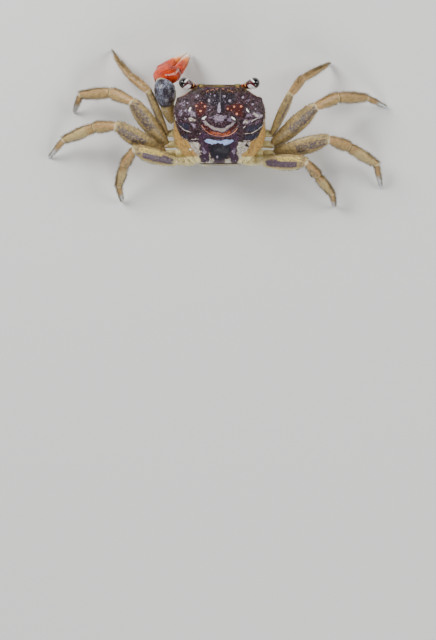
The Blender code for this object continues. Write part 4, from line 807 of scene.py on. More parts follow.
def mask_value(tree, name, strength, blotches, dissolving):
    """A mask painted on the piece; blotches is the (size, cover) of what breaks it up, or empty."""
    node = tree.nodes.new("ShaderNodeAttribute")
    node.attribute_name = name
    value = node.outputs["Fac"]
    if blotches:
        size, cover = blotches
        if dissolving:
            cover = math_node(tree, "MULTIPLY", value, cover)
            value = math_node(tree, "MULTIPLY", value, 3.0, clamp=True)
        broken = use_group(tree, "Mottling", size=size, cover=cover, edge=0.07)
        value = math_node(tree, "MULTIPLY", value, broken)
    return math_node(tree, "MULTIPLY", value, strength, clamp=True)


def new_material(name):
    made = bpy.data.materials.new(name)
    made.use_nodes = True
    return made, made.node_tree, made.node_tree.nodes["Principled BSDF"].inputs


def shell_finish(name, colours, ground, second, mottle, layers=(), specks=None, roughness=(0.3, 0.5),
                 grain=(0.25, 0.5), bump=0.25, coat=0.25, dissolving=()):
    """A shell material: mottled ground, painted layers over it, specks, grain and an uneven gloss.

    A layer is (mask, colour, strength), and then the size and cover of the blotches that break it up,
    where there are any. The cover of a dissolving mask's blotches follows the mask.
    """
    found = bpy.data.materials.get(name)
    if found:
        return found
    made, tree, sockets = new_material(name)
    coarse = use_group(tree, "Mottling", size=mottle[0], cover=mottle[1], edge=0.1)
    colour = mix_colour(tree, coarse, getattr(colours, ground), getattr(colours, second))
    for mask, paint, strength, *blotches in layers:
        shown = mask_value(tree, mask, strength, blotches, mask in dissolving)
        colour = mix_colour(tree, shown, colour, getattr(colours, paint))
    if specks:
        paint, strength, size = specks
        dots = math_node(tree, "MULTIPLY", use_group(tree, "Specks", size=size, radius=0.3), strength)
        colour = mix_colour(tree, dots, colour, getattr(colours, paint))
    tree.links.new(colour, sockets["Base Color"])
    sheen = use_group(tree, "Mottling", size=0.8, cover=0.5, edge=0.25)
    rough = tree.nodes.new("ShaderNodeMapRange")
    rough.inputs["To Min"].default_value, rough.inputs["To Max"].default_value = roughness
    tree.links.new(sheen, rough.inputs["Value"])
    tree.links.new(rough.outputs["Result"], sockets["Roughness"])
    raised = tree.nodes.new("ShaderNodeBump")
    raised.inputs["Strength"].default_value = bump
    raised.inputs["Distance"].default_value = 0.1 * MM
    tree.links.new(use_group(tree, "Shell grain", size=grain[0], pits=grain[1]), raised.inputs["Height"])
    tree.links.new(raised.outputs["Normal"], sockets["Normal"])
    sockets["Specular IOR Level"].default_value = 0.24
    sockets["Coat Weight"].default_value = coat
    sockets["Coat Roughness"].default_value = 0.18
    return made


# Finishes of small parts: their colour, what darkens it in blotches, and their roughness
PLAIN_FINISHES = {
    "back_setae_finish": ("setae", "setae_dark", 0.6),
    "leg_setae_finish": ("setae", "setae_dark", 0.6),
    "belly_setae_finish": ("setae_pale", "setae", 0.6),
    "mouth_setae_finish": ("setae_grey", "ink", 0.6),
    "mouth_pad_finish": ("slate", "ink", 0.75),
    "membrane_finish": ("membrane", "belly_ochre", 0.45),
}


def plain_finish(name, colours):
    """A finish for small parts: one colour, darkened in fine blotches."""
    found = bpy.data.materials.get(name)
    if found:
        return found
    colour, dark, roughness = PLAIN_FINISHES[name]
    made, tree, sockets = new_material(name)
    blotches = use_group(tree, "Mottling", size=0.5, cover=0.45, edge=0.2)
    painted = mix_colour(tree, blotches, getattr(colours, colour), getattr(colours, dark))
    tree.links.new(painted, sockets["Base Color"])
    sockets["Roughness"].default_value = roughness
    return made


# Limb segments


def frame_at(tangent, crest):
    crest = crest - tangent * np.sum(crest * tangent, axis=-1, keepdims=True)
    crest = unit(crest)
    return crest, np.cross(tangent, crest)


def met(rings, row, plane, along, falloff):
    """Moves the rings near one end along the limb, until the end's own ring lies in the plane."""
    origin, normal = plane
    shift = (np.asarray(origin) - rings[row]) @ normal / (along[row] @ normal)
    return rings + along[:, None] * (falloff[:, None] * shift[None])[..., None]


def limb_grid(start, end, crest, outline, width, sides=40, stations=44, bow=(0, 0, 0), planes=(None, None),
              ridges=()):
    """Oval rings from start to end, mitred at both ends, with each ring's share and each point's angle."""
    start, end, bow, crest = (np.array(v, dtype=float) for v in (start, end, bow, crest))
    t = np.linspace(0, 1, stations)
    to_crest, to_low, thick = (curve([(row[0], row[k]) for row in outline])(t) for k in (1, -2, -1))
    span = end - start
    centre = start + span * t[:, None] + bow * (4 * t * (1 - t))[:, None]
    tangent = unit(span + bow * (4 * (1 - 2 * t))[:, None])
    broad, flat = frame_at(tangent, np.broadcast_to(crest, tangent.shape))
    angle = 2 * math.pi * (np.arange(sides) + 0.5) / sides
    reach = np.where(np.cos(angle) > 0, to_crest[:, None], to_low[:, None]) * np.cos(angle)
    spread = thick[:, None] * np.sin(angle)
    rings = broad[:, None] * reach[..., None] + flat[:, None] * spread[..., None]
    lift = np.zeros((stations, sides))
    held = ramp(t, 0.02, 0.2) * fall(t, 0.78, 0.2)
    for degrees, height, half_width in ridges:
        off = (np.degrees(angle) - degrees + 180) % 360 - 180
        lift += height / width * np.exp(-(off / half_width) ** 2)[None] * held[:, None]
    rings = centre[:, None] + (rings + unit(rings) * lift[..., None]) * width
    for row, plane, from_end in ((0, planes[0], t), (-1, planes[1], 1 - t)):
        if plane is not None:
            rings = met(rings, row, plane, tangent, np.clip(1 - from_end / 0.3, 0, 1))
    return rings, t, angle


def heading_vector(side, heading, slope):
    heading, slope = math.radians(heading), math.radians(slope)
    return np.array((side * math.sin(heading) * math.cos(slope), -math.cos(heading) * math.cos(slope),
                     math.sin(slope)))


def crest_vector(side, heading, slope, roll):
    """Across a segment: forward of it, turned up by roll degrees."""
    along = heading_vector(side, heading, slope)
    forward = heading_vector(side, heading - 90, 0)
    upward = np.cross(forward, along) * side
    return forward * math.cos(math.radians(roll)) + upward * math.sin(math.radians(roll))


def mitre(point, before, after, sign):
    """The plane halfway round a bend, moved by half the clearance along or against the limb."""
    normal = unit(unit(before) + unit(after))
    return (np.asarray(point) + normal * GAP / 2 * sign, normal)


def leg_joints(side, side_name, pair):
    """Joint points of one leg from the merus's base to the foot, with the crest of each segment."""
    merus, carpus, propodus, foot_heading, roll = LEG_POSES[f"{side_name}_{pair}"]
    lengths = SEGMENT_LENGTHS[pair]
    joints = [mirrored(MERUS_START[pair], side)]
    turns = [merus, carpus, propodus]
    for (heading, slope), length in zip(turns, lengths):
        joints.append(joints[-1] + heading_vector(side, heading, slope) * length)
    drop = math.degrees(math.asin(joints[-1][2] / lengths[3]))
    turns.append((foot_heading, -drop))
    joints.append(joints[-1] + heading_vector(side, foot_heading, -drop) * lengths[3])
    return joints, [crest_vector(side, heading, slope, roll) for heading, slope in turns]


def sternum_socket(side, y, z):
    """Centre and outward normal of a hip's seat on the side of the sternum."""
    step = 0.1
    lean = (sternum_half(y + step) - sternum_half(y - step)) / (2 * step)
    normal = unit((side, -lean, 0.0))
    return np.array((side * float(sternum_half(y)), y, z)) + normal * GAP, normal


def sleeve_part(point, before, after, width, thickness):
    """The pale membrane inside a joint."""
    along = unit(unit(before) + unit(after))
    outline = [(0.0, 0.6, 0.6), (0.5, 1.0, 1.0), (1.0, 0.6, 0.6)]
    crest = np.array((0.0, 0.0, 1.0)) if abs(along[2]) < 0.9 else np.array((1.0, 0.0, 0.0))
    rings = limb_grid(point - along * width * 0.5, point + along * width * 0.5, crest, outline, thickness,
                      sides=24, stations=14)[0]
    return grid_part(rings)


# Carapace


def swelling(x, y, height, centre_x, centre_y, half_x, half_y):
    """A smooth rise, or a dip when height is negative."""
    return height * np.exp(-(((x - centre_x) / half_x) ** 2 + ((y - centre_y) / half_y) ** 2))


def groove_line(x):
    """The y of the curved groove behind the gastric region."""
    return 3.0 - 3.2 * (x / 6) ** 2


def dorsal_height(x, y):
    share = np.minimum(np.abs(x) / ridge_half(y), 1.0)
    vault = ridge_height(y) + (mid_height(y) - ridge_height(y)) * (1 - share ** DORSAL_POWER)
    across = np.abs(x)
    relief = -0.5 * np.exp(-((y - groove_line(across)) / 0.9) ** 2) * fall(across, 5.5, 2.0)
    for lobe in DORSAL_LOBES:
        relief += swelling(across, y, *lobe)
    return vault + relief * (1 - share ** 6)


def fine_relief(x, y):
    """Narrow grooves, raised branchial lines and granules of the back."""
    across = np.abs(x)
    relief = np.zeros(np.shape(across))
    for route in GROOVES:
        relief -= GROOVE_DEPTH * np.exp(-(route_distance(across, y, route) / GROOVE_HALF_WIDTH) ** 2)
    for route in BRANCHIAL_LINES:
        relief += LINE_HEIGHT * np.exp(-(route_distance(across, y, route) / LINE_HALF_WIDTH) ** 2)
    for lobe in FRONT_LOBES:
        relief += swelling(across, y, *lobe)
    place = np.stack([x, y + np.zeros_like(x), np.zeros_like(x)], axis=-1)
    relief += 0.03 * noise(place, 0.5, 11) + 0.05 * noise(place, 1.4, 12)
    share = np.minimum(across / ridge_half(y), 1.0)
    return relief * (1 - share ** 12)


def wall_foot(y):
    """Half width and height of the lower edge of the side wall, or of the roof over the orbit."""
    free = fall(y, -9.5, 0.4)
    half = low_half(y) * (1 - free) + (ridge_half(y) - 0.15) * free
    height = low_height(y) * (1 - free) + (ridge_height(y) - ROOF_THICKNESS) * free
    return half, height


def under_height(x, y):
    """Underside of the carapace: orbits and face in front, a shallow vault over the sternum behind."""
    half, edge_height = wall_foot(y)
    over_sternum = sternum_top(y) + 1.5 * GAP
    mouth = mouth_height(y) + swelling(x, y, *ANTENNULE_BULB) if y < STERNUM_FRONT_Y else over_sternum
    cheek = cheek_height(y) if y < STERNUM_FRONT_Y else over_sternum
    height = mouth + (cheek - mouth) * ramp(x, mouth_half(y) - MOUTH_EDGE, MOUTH_EDGE)
    orbit_back = ORBIT_BACK_Y + (x - ORBIT_INNER_X) * ORBIT_BACK_SLOPE
    in_orbit = ramp(x, ORBIT_INNER_X - 0.4, 0.8) * fall(y, orbit_back, 0.5)
    roof = dorsal_height(np.minimum(x, half), y) - ROOF_THICKNESS
    height = height + (roof - height) * in_orbit
    # The cheeks are rounded down to their outer edge, and the rim over the hips is a soft step
    front = fall(y, -6.5, 3.0)
    rounded = 1 - np.sqrt(1 - np.clip((x - half) / CHEEK_ROUNDING + 1, 0, 1) ** 2)
    rise = ramp(x, half - 2.2, 2.2) * (1 - front) + rounded * front
    return height + (edge_height - height) * rise


def carapace_section(y):
    """Points of the left half from the midline of the back round to the midline below."""
    ridge, wall = float(ridge_half(y)), float(wall_half(y))
    foot, foot_height = (float(value) for value in wall_foot(y))
    bulge = max(wall - (ridge + foot) / 2, 0.0) * float(ramp(y, -9.5, 1.0))
    turn = np.linspace(0, 1, TOP_COLUMNS + 1)
    top_x = ridge * (0.6 * turn + 0.4 * np.sin(math.pi / 2 * turn))
    top_z = dorsal_height(top_x, y)
    v = np.arange(1, WALL_COLUMNS + 1) / (WALL_COLUMNS + 1)
    wall_x = ridge + (foot - ridge) * v + bulge * 4 * v * (1 - v)
    wall_z = top_z[-1] + (foot_height - top_z[-1]) * v
    under_x = foot * np.linspace(1, 0, UNDER_COLUMNS + 1)
    under_z = under_height(under_x, y)
    xs = np.concatenate([top_x, wall_x, under_x])
    zs = np.concatenate([top_z, wall_z, under_z])
    xs = np.concatenate([xs, -xs[-2:0:-1]])
    zs = np.concatenate([zs, zs[-2:0:-1]])
    return np.stack([xs, np.full_like(xs, y), zs], axis=-1)


def carapace_grid():
    """Rings from front to rear, and which of their points lie on top, on the walls and below."""
    stations = np.concatenate([np.linspace(-13.5, -12.9, 26)[:-1], np.linspace(-12.9, -8.6, 74)[:-1],
                               np.linspace(-8.6, REAR_Y, 170)])
    rings = np.stack([carapace_section(float(y)) for y in stations])
    column = np.arange(rings.shape[1])
    column = np.minimum(column, rings.shape[1] - column)
    top = (column <= TOP_COLUMNS).astype(float)
    under = (column > TOP_COLUMNS + WALL_COLUMNS).astype(float)
    wall = 1 - top - under
    rings[:, :, 2] += top * fine_relief(rings[:, :, 0], rings[:, :, 1])
    drawn = 1 - np.clip(rings[:, :, 0] / FRONT_HOLLOW_HALF, -1, 1) ** 2
    forward = ramp(-rings[:, :, 1], 12.0, 1.3) * ramp(rings[:, :, 2], 18.4, 1.4)
    rings[:, :, 1] += FRONT_HOLLOW * drawn * forward
    grain = noise(rings, 0.7, 13)
    rings[:, :, 2] += under * 0.03 * grain
    rings[:, :, 0] += wall * 0.05 * grain
    return rings, top, wall, under


def outline_depth(x, y, outline):
    """How far points lie inside a closed outline, below 0 outside it."""
    inside = np.zeros(np.shape(x), dtype=bool)
    closed = outline + outline[:1]
    for (x0, y0), (x1, y1) in zip(closed, closed[1:]):
        crosses = (y0 > y) != (y1 > y)
        inside ^= crosses & (x < (x1 - x0) * (y - y0) / (y1 - y0 + 1e-12) + x0)
    return np.where(inside, 1, -1) * route_distance(x, y, closed)


def area_mask(x, y, outlines, fade):
    """1 inside any of the outlines, with a soft edge as wide as fade."""
    total = np.zeros(np.shape(x))
    for outline in outlines:
        total = np.maximum(total, ramp(outline_depth(x, y, outline), -0.5 * fade, fade))
    return total


def oval_mask(x, y, patches, inner=0.7, fade=0.5):
    """1 inside any of the ovals (x, y, half width, half length), fading to 0 past their edge."""
    total = np.zeros(x.shape)
    for centre_x, centre_y, half_x, half_y in patches:
        away = np.hypot((x - centre_x) / half_x, (y - centre_y) / half_y)
        total = np.maximum(total, fall(away, inner, fade))
    return total


def line_mask(x, y, routes, half_width):
    total = np.zeros(x.shape)
    for route in routes:
        total = np.maximum(total, fall(route_distance(x, y, route), half_width * 0.4, half_width))
    return total


def back_masks(x, y):
    """Where each colour of the back lies, with edges made uneven by noise."""
    place = np.stack([x, y, np.zeros_like(x)], axis=-1)
    warp_x = x + 0.16 * noise(place, 0.6, 21) + 0.14 * noise(place, 1.8, 22)
    warp_y = y + 0.16 * noise(place, 0.6, 23) + 0.14 * noise(place, 1.8, 24)
    near_x, near_y = 0.5 * (x + warp_x), 0.5 * (y + warp_y)
    across, warp_across = np.abs(x), np.abs(warp_x)
    ridge = ridge_half(y)
    masks = {}
    for name, outlines in BACK_AREAS.items():
        ragged = 2.2 if name in RAGGED else 1.0
        moved_x, moved_y = x + ragged * (warp_x - x), y + ragged * (warp_y - y)
        masks[name] = area_mask(moved_x, moved_y, outlines, AREA_FADE[name])
    # Behind the widest part the sides turn ochre, up to a curved border with the pale zones
    border = 5.2 - 0.035 * np.clip(warp_across - 7.5, 0, None) ** 2.3
    behind = ramp(warp_y, border, 0.5) * ramp(warp_across, 4.9, 0.8)
    sides = behind * ramp(warp_across, ridge - 1.9 - 0.6 * noise(place, 1.6, 26), 1.0)
    rear_edge = ramp(y, 12.0 + 0.3 * noise(place, 0.9, 27), 0.3) * (1 - 0.7 * masks["purple"])
    pale_rear = 0.9 * ramp(warp_y, border, 0.5) * (1 - masks["purple"]) * (1 - masks["ink"])
    pale_rear = pale_rear * ramp(np.maximum(warp_across - 2.0, 3 * (warp_y - 10.6)), 0.5, 0.8)
    edge_line = ramp(across, ridge - 0.45, 0.35) * ramp(y, -7.5, 1.5) * fall(y, 2.0, 2.0)
    brow = ramp(across, ridge - 0.7, 0.4) * fall(y, -9.4, 0.8) * ramp(across, 6.6, 0.8)
    masks["orange"] = np.maximum(masks["orange"], brow)
    masks["cream"] = np.maximum.reduce([masks["cream"], pale_rear, rear_edge, 0.6 * edge_line])
    masks["ochre"] = np.clip(sides - rear_edge, 0, 1)
    masks["ink"] = masks["ink"] * (1 - rear_edge)
    # Lines and spots
    lines = line_mask(x, y + 0.12 * noise(place, 1.5, 25), PALE_LINES, 0.17)
    masks["lines"] = lines * (0.7 + 0.3 * noise(place, 0.9, 29))
    masks["grooves"] = line_mask(near_x, near_y, BACK_GROOVES, 0.16)
    wedge = oval_mask(x, y, [(px, py, r, 1.3) for px, py, r in MEDIAN_WEDGE], 0.5, 0.7)
    wedge = 0.9 * wedge * (0.35 + 0.65 * ramp(y, -7.7, 0.6))
    spots = oval_mask(near_x, near_y, [(px, py, r, r * 1.1) for px, py, r in PALE_SPOTS], 0.35, 0.9)
    masks["spots"] = np.maximum(spots, wedge)
    masks["peach"] = np.maximum.reduce([
        oval_mask(near_x, near_y, [(px, py, r, r) for px, py, r in PEACH_SPOTS], 0.4, 0.8),
        0.8 * line_mask(x, y, FRONT_DASHES, 0.14),
        0.8 * line_mask(near_x, near_y, [PEACH_LINE], 0.13)])
    return masks


def face_masks(x, y, z):
    """Where the colours of the face lie, on the front plate and below it."""
    place = np.stack([x, y, z], axis=-1)
    x = x + 0.18 * noise(place, 0.8, 81)
    z = z + 0.18 * noise(place, 0.8, 82)
    across = np.abs(x)
    plate = fall(y, -12.1, 0.5)
    front = fall(y, -9.2, 1.0)
    band_height = 19.3 + 0.085 * across**2

    def within(half, fade):
        return 1 - ramp(across, half, fade)

    def bloom(centre_x, centre_z, half_x, half_z):
        return front * swelling(x, z, 1.0, centre_x, centre_z, half_x, half_z)

    epistome = front * band(z - 0.12 * across, 14.9, 16.1, 0.35) * within(4.4, 0.5)
    night = plate * fall(z, band_height - 0.4, 0.3) * ramp(z, 18.2, 0.3) * within(6.9, 0.5)
    return {
        "olive": plate * fall(np.abs(z - band_height), 0.25, 0.35) * within(4.9, 0.8),
        "lobes": plate * ramp(z, band_height + 0.2, 0.3) * within(6.6, 0.6),
        "frown": front * ramp(z, 13.6, 0.6) * fall(z, 18.3, 0.3) * within(7.6, 1.2),
        "pink": plate * line_mask(across, z, [FRONT_PINK], 0.16),
        "epistome": np.maximum(epistome, night),
        "teal": front * fall(np.hypot(x, (z - 17.1) / 0.75), 0.7, 0.5),
        "sill": front * band(z, 16.7, 18.1, 0.4) * within(6.4, 0.7),
        "lip": front * band(z, 13.2, 14.9, 0.4) * within(3.2, 1.0),
        "ridge": front * line_mask(across, z, [SUBORBITAL_RIDGE], 0.55),
        # Painted shade under each suborbital ridge
        "shade": front * line_mask(across, z, [SUBORBITAL_SHADE], 0.6),
        "cheek": front * fall(z, 15.2, 1.6) * ramp(across, 5.2, 0.6),
        # Dark violet on the left cheek only: partly the cheek's own lilac colour, partly painted shade
        "violet_and_shade": np.clip(1.3 * bloom(8.6, 13.0, 2.7, 2.6), 0, 1),
        "blush": np.clip(0.9 * bloom(-10.4, 11.3, 2.0, 1.9) + bloom(6.4, 12.6, 1.2, 1.3), 0, 1),
    }


def build_carapace(colours, sizes):
    rings, top, wall, under = carapace_grid()
    x, y, z = np.moveaxis(rings, -1, 0)
    masks = {name: value * top for name, value in back_masks(x, y).items()}
    dissolving = (*masks, "marked")
    masks["ochre"] = np.maximum(masks["ochre"], np.maximum(wall * ramp(y, -9.6, 0.5), under * (y > -9.0)))
    masks["cream"] = np.maximum(masks["cream"], under * ramp(y, -4.0, 2.0) * 0.6)
    for name, value in face_masks(x, y, z).items():
        masks[name] = value * (1.0 if name in ("olive", "lobes", "epistome", "pink") else under)
    foot = wall_foot(y)[0]
    beside_foot = band(np.abs(x), foot - 0.75, foot - 0.35, 0.2)
    masks["wall_line"] = fall(y, -8.5, 1.0) * (wall + under) * beside_foot
    masks["bare"] = under
    masks["marked"] = top * (1 - masks["ochre"]) * (1 - 0.7 * ramp(y, 5.5, 1.5) * masks["cream"])
    masks["bulb"] = masks["ochre"] * ramp(y, 9.9, 0.5)
    finish = shell_finish(
        "carapace_finish", colours, "back", "back_mottle", (0.7, 0.46),
        CARAPACE_LAYERS,
        specks=("ink", 0.3, 0.42), roughness=(0.42, 0.62), grain=(0.28, 0.6), bump=0.3, coat=0.05,
        dissolving=dissolving)
    knobs = [ball_part(mirrored(FRONT_KNOB, side), (0.75, 0.5, 0.6), olive=1.0) for side, side_name in SIDES]
    add_piece("carapace_shell", [grid_part(rings, **masks), *knobs], finish, "carapace", 60)

    draw = np.random.RandomState(5)
    front = top * fall(y, -11.4, 1.2) * (0.1 + masks["olive"])
    fringe = top * ramp(np.abs(x), ridge_half(y) - 0.9, 0.8) * 0.25
    walls = wall * ramp(y, -8.0, 3.0) * 0.8 + under * ramp(y, -4.0, 2.0) * ramp(np.abs(x), 9.0, 3.0)
    tufts = [tuft(rings, front + fringe + top * 0.012, sizes.back_setae, draw, 0.5, 0.7, 0.03, 0.45),
             tuft(rings, walls, sizes.back_setae // 2, draw, 0.3, 0.7, 0.028, 0.4)]
    add_setae("carapace_setae", tufts, plain_finish("back_setae_finish", colours))


# Sternum and pleon


def chaikin(ring):
    """Rounds the corners of a closed outline."""
    for _ in range(2):
        after = np.roll(ring, -1, axis=0)
        ring = np.stack([ring * 0.75 + after * 0.25, ring * 0.25 + after * 0.75], axis=1).reshape(-1, 3)
    return ring


def groove_half(y):
    return float(pleon_half(y)) + 1.5 * GAP if y > TELSON_TIP_Y else 0.6


def seam_dip(y):
    """How far the outer face of the sternum is sunk in at a seam."""
    return SEAM_DEPTH * max(math.exp(-((y - seam) / SEAM_HALF_WIDTH) ** 2) for seam in STERNUM_SEAMS)


def sternum_section(y):
    half, top, low = float(sternum_half(y)), float(sternum_top(y)), float(sternum_low(y))
    groove = groove_half(y)
    depth = PLEON_THICKNESS + 1.5 * GAP if y > TELSON_TIP_Y - 2 * GAP else 0.0
    swollen = low + seam_dip(y)
    middle = (half + groove) / 2 + 0.6
    right = [(0.0, top), (half * 0.55, top), (half - 0.5, top - 0.1), (half, top - 0.8),
             (half, low + STERNUM_SIDE_RISE + 0.5), (half - 0.6, swollen + STERNUM_SIDE_RISE * 0.75),
             (middle, swollen + STERNUM_SIDE_RISE * 0.3), (groove + 1.2, swollen + 0.05),
             (groove + 0.35, low), (groove, low + depth), (0.0, low + depth)]
    left = [(-x, z) for x, z in reversed(right[1:-1])]
    return chaikin(np.array([(x, y, z) for x, z in right + left]))


def build_sternum(colours, sizes):
    stations = np.linspace(STERNUM_FRONT_Y, 12.0, 170)
    rings = np.stack([sternum_section(float(y)) for y in stations])
    x, y, z = np.moveaxis(rings, -1, 0)
    dips = np.array([seam_dip(float(value)) for value in stations])[:, None] / SEAM_DEPTH
    outer = ramp(np.abs(x), np.array([groove_half(float(value)) for value in stations])[:, None], 0.8)
    edge = ramp(np.abs(x), sternum_half(y) - 1.6, 1.4)
    finish = shell_finish(
        "sternum_finish", colours, "belly", "belly_blue", (2.2, 0.5),
        [("edge", "belly_ochre", 0.6, 1.0, 0.75), ("seams", "ochre", 0.9)],
        specks=("belly_ochre", 0.3, 0.9), roughness=(0.28, 0.42), grain=(0.4, 0.35), bump=0.18)
    shell = grid_part(rings, seams=dips * outer, edge=edge)
    add_piece("sternum_shell", [shell], finish, "sternum")
    draw = np.random.RandomState(7)
    weight = np.where(z < sternum_low(y) + 2.5, 0.3 * (y < 1.5) + dips * 0.2 + 0.04, 0.0)
    tufts = [tuft(rings, weight, sizes.belly_setae, draw, -0.6, 0.8, 0.03, 0.3)]
    add_setae("sternum_setae", tufts, plain_finish("belly_setae_finish", colours))


def plate_ring(y, half, crown):
    """A thin plate across the belly: outer face below, inner face above."""
    low = float(sternum_low(y))
    shares = np.array((-1.0, -0.8, -0.4, 0.0, 0.4, 0.8, 1.0))
    outer = np.stack([half * shares, np.full(7, y), low - crown * (1 - shares**2)], axis=1)
    inner = np.stack([half * shares[::-1], np.full(7, y), np.full(7, low + PLEON_THICKNESS)], axis=1)
    return chaikin(np.concatenate([outer, inner]))


def rear_ring(outer_y, outer_z, inner_y, inner_z, half):
    """One ring of the curved plates behind the body, from its outer and inner points on the midline."""
    outer, inner = np.array((0.0, outer_y, outer_z)), np.array((0.0, inner_y, inner_z))
    shares = np.array((-1.0, -0.85, -0.5, 0.0, 0.5, 0.85, 1.0))[:, None]
    across = np.array((half, 0.0, 0.0))
    near = inner + across * shares
    far = outer + (inner - outer) * PLEON_WRAP * np.abs(shares) ** 4 + across * shares
    return chaikin(np.concatenate([near, far[::-1]]))


def build_pleon(colours, sizes):
    finish = shell_finish(
        "pleon_finish", colours, "belly", "belly_blue", (1.6, 0.45),
        [("stripe", "steel_pale", 0.8, 1.4, 0.75), ("rims", "ochre", 0.55)],
        roughness=(0.26, 0.4), grain=(0.35, 0.35), bump=0.2)

    def belly_plate(start, end, count):
        return [plate_ring(y, float(pleon_half(y)), PLEON_CROWN) for y in np.linspace(start, end, count)]

    plates = {
        "telson": belly_plate(TELSON_TIP_Y, TELSON_ROOT_Y, 46),
        "pleon_somite_6": belly_plate(TELSON_ROOT_Y + GAP, PLEON_TURN_Y, 60),
        "pleon_somites_3_to_5": [rear_ring(*row) for row in rows_between(PLEON_REAR_LOW, 90)],
        "pleon_somites_1_to_2": [rear_ring(*row) for row in rows_between(PLEON_REAR_HIGH, 50)],
    }
    rear = tube_grid(REAR_MEMBRANE, (0.26, 0.3, 0.26), 40, 16)
    membrane = plain_finish("membrane_finish", colours)
    add_piece("rear_membrane", [grid_part(rear)], membrane, sharp=60)
    draw = np.random.RandomState(8)
    tufts = []
    for name, rings in plates.items():
        rings = np.stack(rings)
        share = np.linspace(0, 1, len(rings))[:, None]
        across = np.abs(rings[:, :, 0]) / np.abs(rings[:, :, 0]).max(axis=1, keepdims=True)
        rims = np.maximum(fall(share, 0.0, 0.08), ramp(share, 0.92, 0.08))
        if name == "pleon_somites_1_to_2":
            rims = 0.2 * rims
        plate = grid_part(rings, stripe=1 - ramp(across, 0.4, 0.35), rims=rims)
        add_piece(f"{name}_shell", [plate], finish, name)
        weight = ramp(across, 0.8, 0.2) + (0.8 if name == "telson" else 0.0) * fall(share, 0.0, 0.25)
        tufts.append(tuft(rings, weight, sizes.belly_setae // 5, draw, -0.4, 0.45, 0.025, 0.3))
    add_setae("pleon_setae", tufts, plain_finish("belly_setae_finish", colours))


# Eyes, antennae and mouthparts


def eye_masks(rings, centre, side):
    """Porcelain ring and back of an eye, and the maroon inner side of its globe."""
    looks = unit(rings - centre)
    gaze = unit((0.75 * side, -0.62, 0.05))
    turned = np.degrees(np.arccos(np.clip(looks @ gaze, -1, 1)))
    low = ramp(-looks[..., 2], 0.1, 0.5)
    ring = ramp(turned, 79 - 6 * low, 4) * fall(turned, 92 + 26 * low, 5)
    ring = ring * np.maximum(ramp(-looks[..., 1], -0.05, 0.3), low)
    back = np.degrees(np.arccos(np.clip(looks @ unit((-0.45 * side, 0.8, 0.35)), -1, 1)))
    white = np.maximum(ring, fall(back, 38, 6))
    return {"white": white, "maroon": np.clip(ramp(turned, 92, 6) - white, 0, 1)}


def build_eyes(colours, sizes):
    stalk_finish = shell_finish(
        "eyestalk_finish", colours, "stalk", "stalk_dark", (0.7, 0.45),
        [("collar", "orange", 0.85, 0.5, 0.75), ("white", "white", 0.95), ("rim", "ridge", 0.9)],
        roughness=(0.12, 0.25), grain=(0.3, 0.3), bump=0.1, coat=0.6)
    cornea_finish = shell_finish(
        "cornea_finish", colours, "cornea", "cornea_brown", (0.6, 0.4),
        [("maroon", "stalk", 1.0), ("white", "white", 1.0)],
        roughness=(0.03, 0.07), grain=(0.3, 0.1), bump=0.0, coat=1.0)
    for side, side_name in SIDES:
        root, centre = mirrored(STALK_ROOT, side), mirrored(CORNEA_CENTRE, side)
        along = unit(centre - root)
        stalk_end = centre - along * 0.55
        rings, t, _ = limb_grid(root, stalk_end, (0, 0, 1), STALK_OUTLINE, STALK_WIDTH,
                                planes=(None, (stalk_end, along)))
        t = t[:, None]
        backward = unit(rings - rings.mean(axis=1, keepdims=True))[..., 1]
        skin = grid_part(rings, collar=1 - ramp(t, 0.12, 0.2),
                         white=ramp(t, 0.7, 0.12) * ramp(backward, 0.1, 0.35),
                         rim=band(t, 0.44, 0.5, 0.05) * fall(backward, 0.2, 0.3))
        name = f"eyestalk_{side_name}"
        add_piece(f"{name}_skin", [skin], stalk_finish, name, 60)
        globe = ball_part(centre, CORNEA_HALF, CORNEA_TILT * side, levels=72, sides=96)[0].reshape(72, 96, 3)
        glass = grid_part(globe, **eye_masks(globe, centre, side))
        add_piece(f"cornea_{side_name}_glass", [glass], cornea_finish, f"cornea_{side_name}", 60)


def tube_grid(route, radii, stations=40, sides=20, ringed=0.0, turns=12):
    """A round stalk along a smooth route, with raised rings when ringed is above 0."""
    share = np.linspace(0, 1, len(route))
    t = np.linspace(0, 1, stations)
    centre = np.stack([curve(list(zip(share, column)))(t) for column in zip(*route)], axis=1)
    radius = curve(list(zip(share, radii)))(t)
    radius = radius * (1 + ringed * np.cos(2 * math.pi * turns * t))
    tangent = unit(np.gradient(centre, axis=0))
    circle = circles(*frame_at(tangent, np.broadcast_to(np.array((0.1, 0.2, 1.0)), tangent.shape)), sides)
    return centre[:, None] + circle * radius[:, None, None]


def build_antennae(colours, sizes):
    finish = shell_finish(
        "antenna_finish", colours, "orange", "back_mottle", (0.6, 0.5),
        [("pale", "ice", 0.7, 0.5, 0.6)],
        roughness=(0.3, 0.45), grain=(0.25, 0.4))
    for side, side_name in SIDES:
        route = mirrored(ANTENNA_ROUTE, side)
        parts = [grid_part(tube_grid(route[:3], ANTENNA_RADII[:3], 30, 24)),
                 grid_part(tube_grid(route[1:], (0.36, 0.3, 0.16), 90, 14, ringed=0.06, turns=13)),
                 ball_part(mirrored(ANTENNULE_PLACE, side), (1.15, 0.5, 0.5), 8 * side, pale=1.0),
                 ball_part(mirrored((1.9, -12.7, 17.5), side), (0.55, 0.4, 0.42), pale=0.3)]
        add_piece(f"antenna_{side_name}_articles", parts, finish, f"antenna_{side_name}", 60)


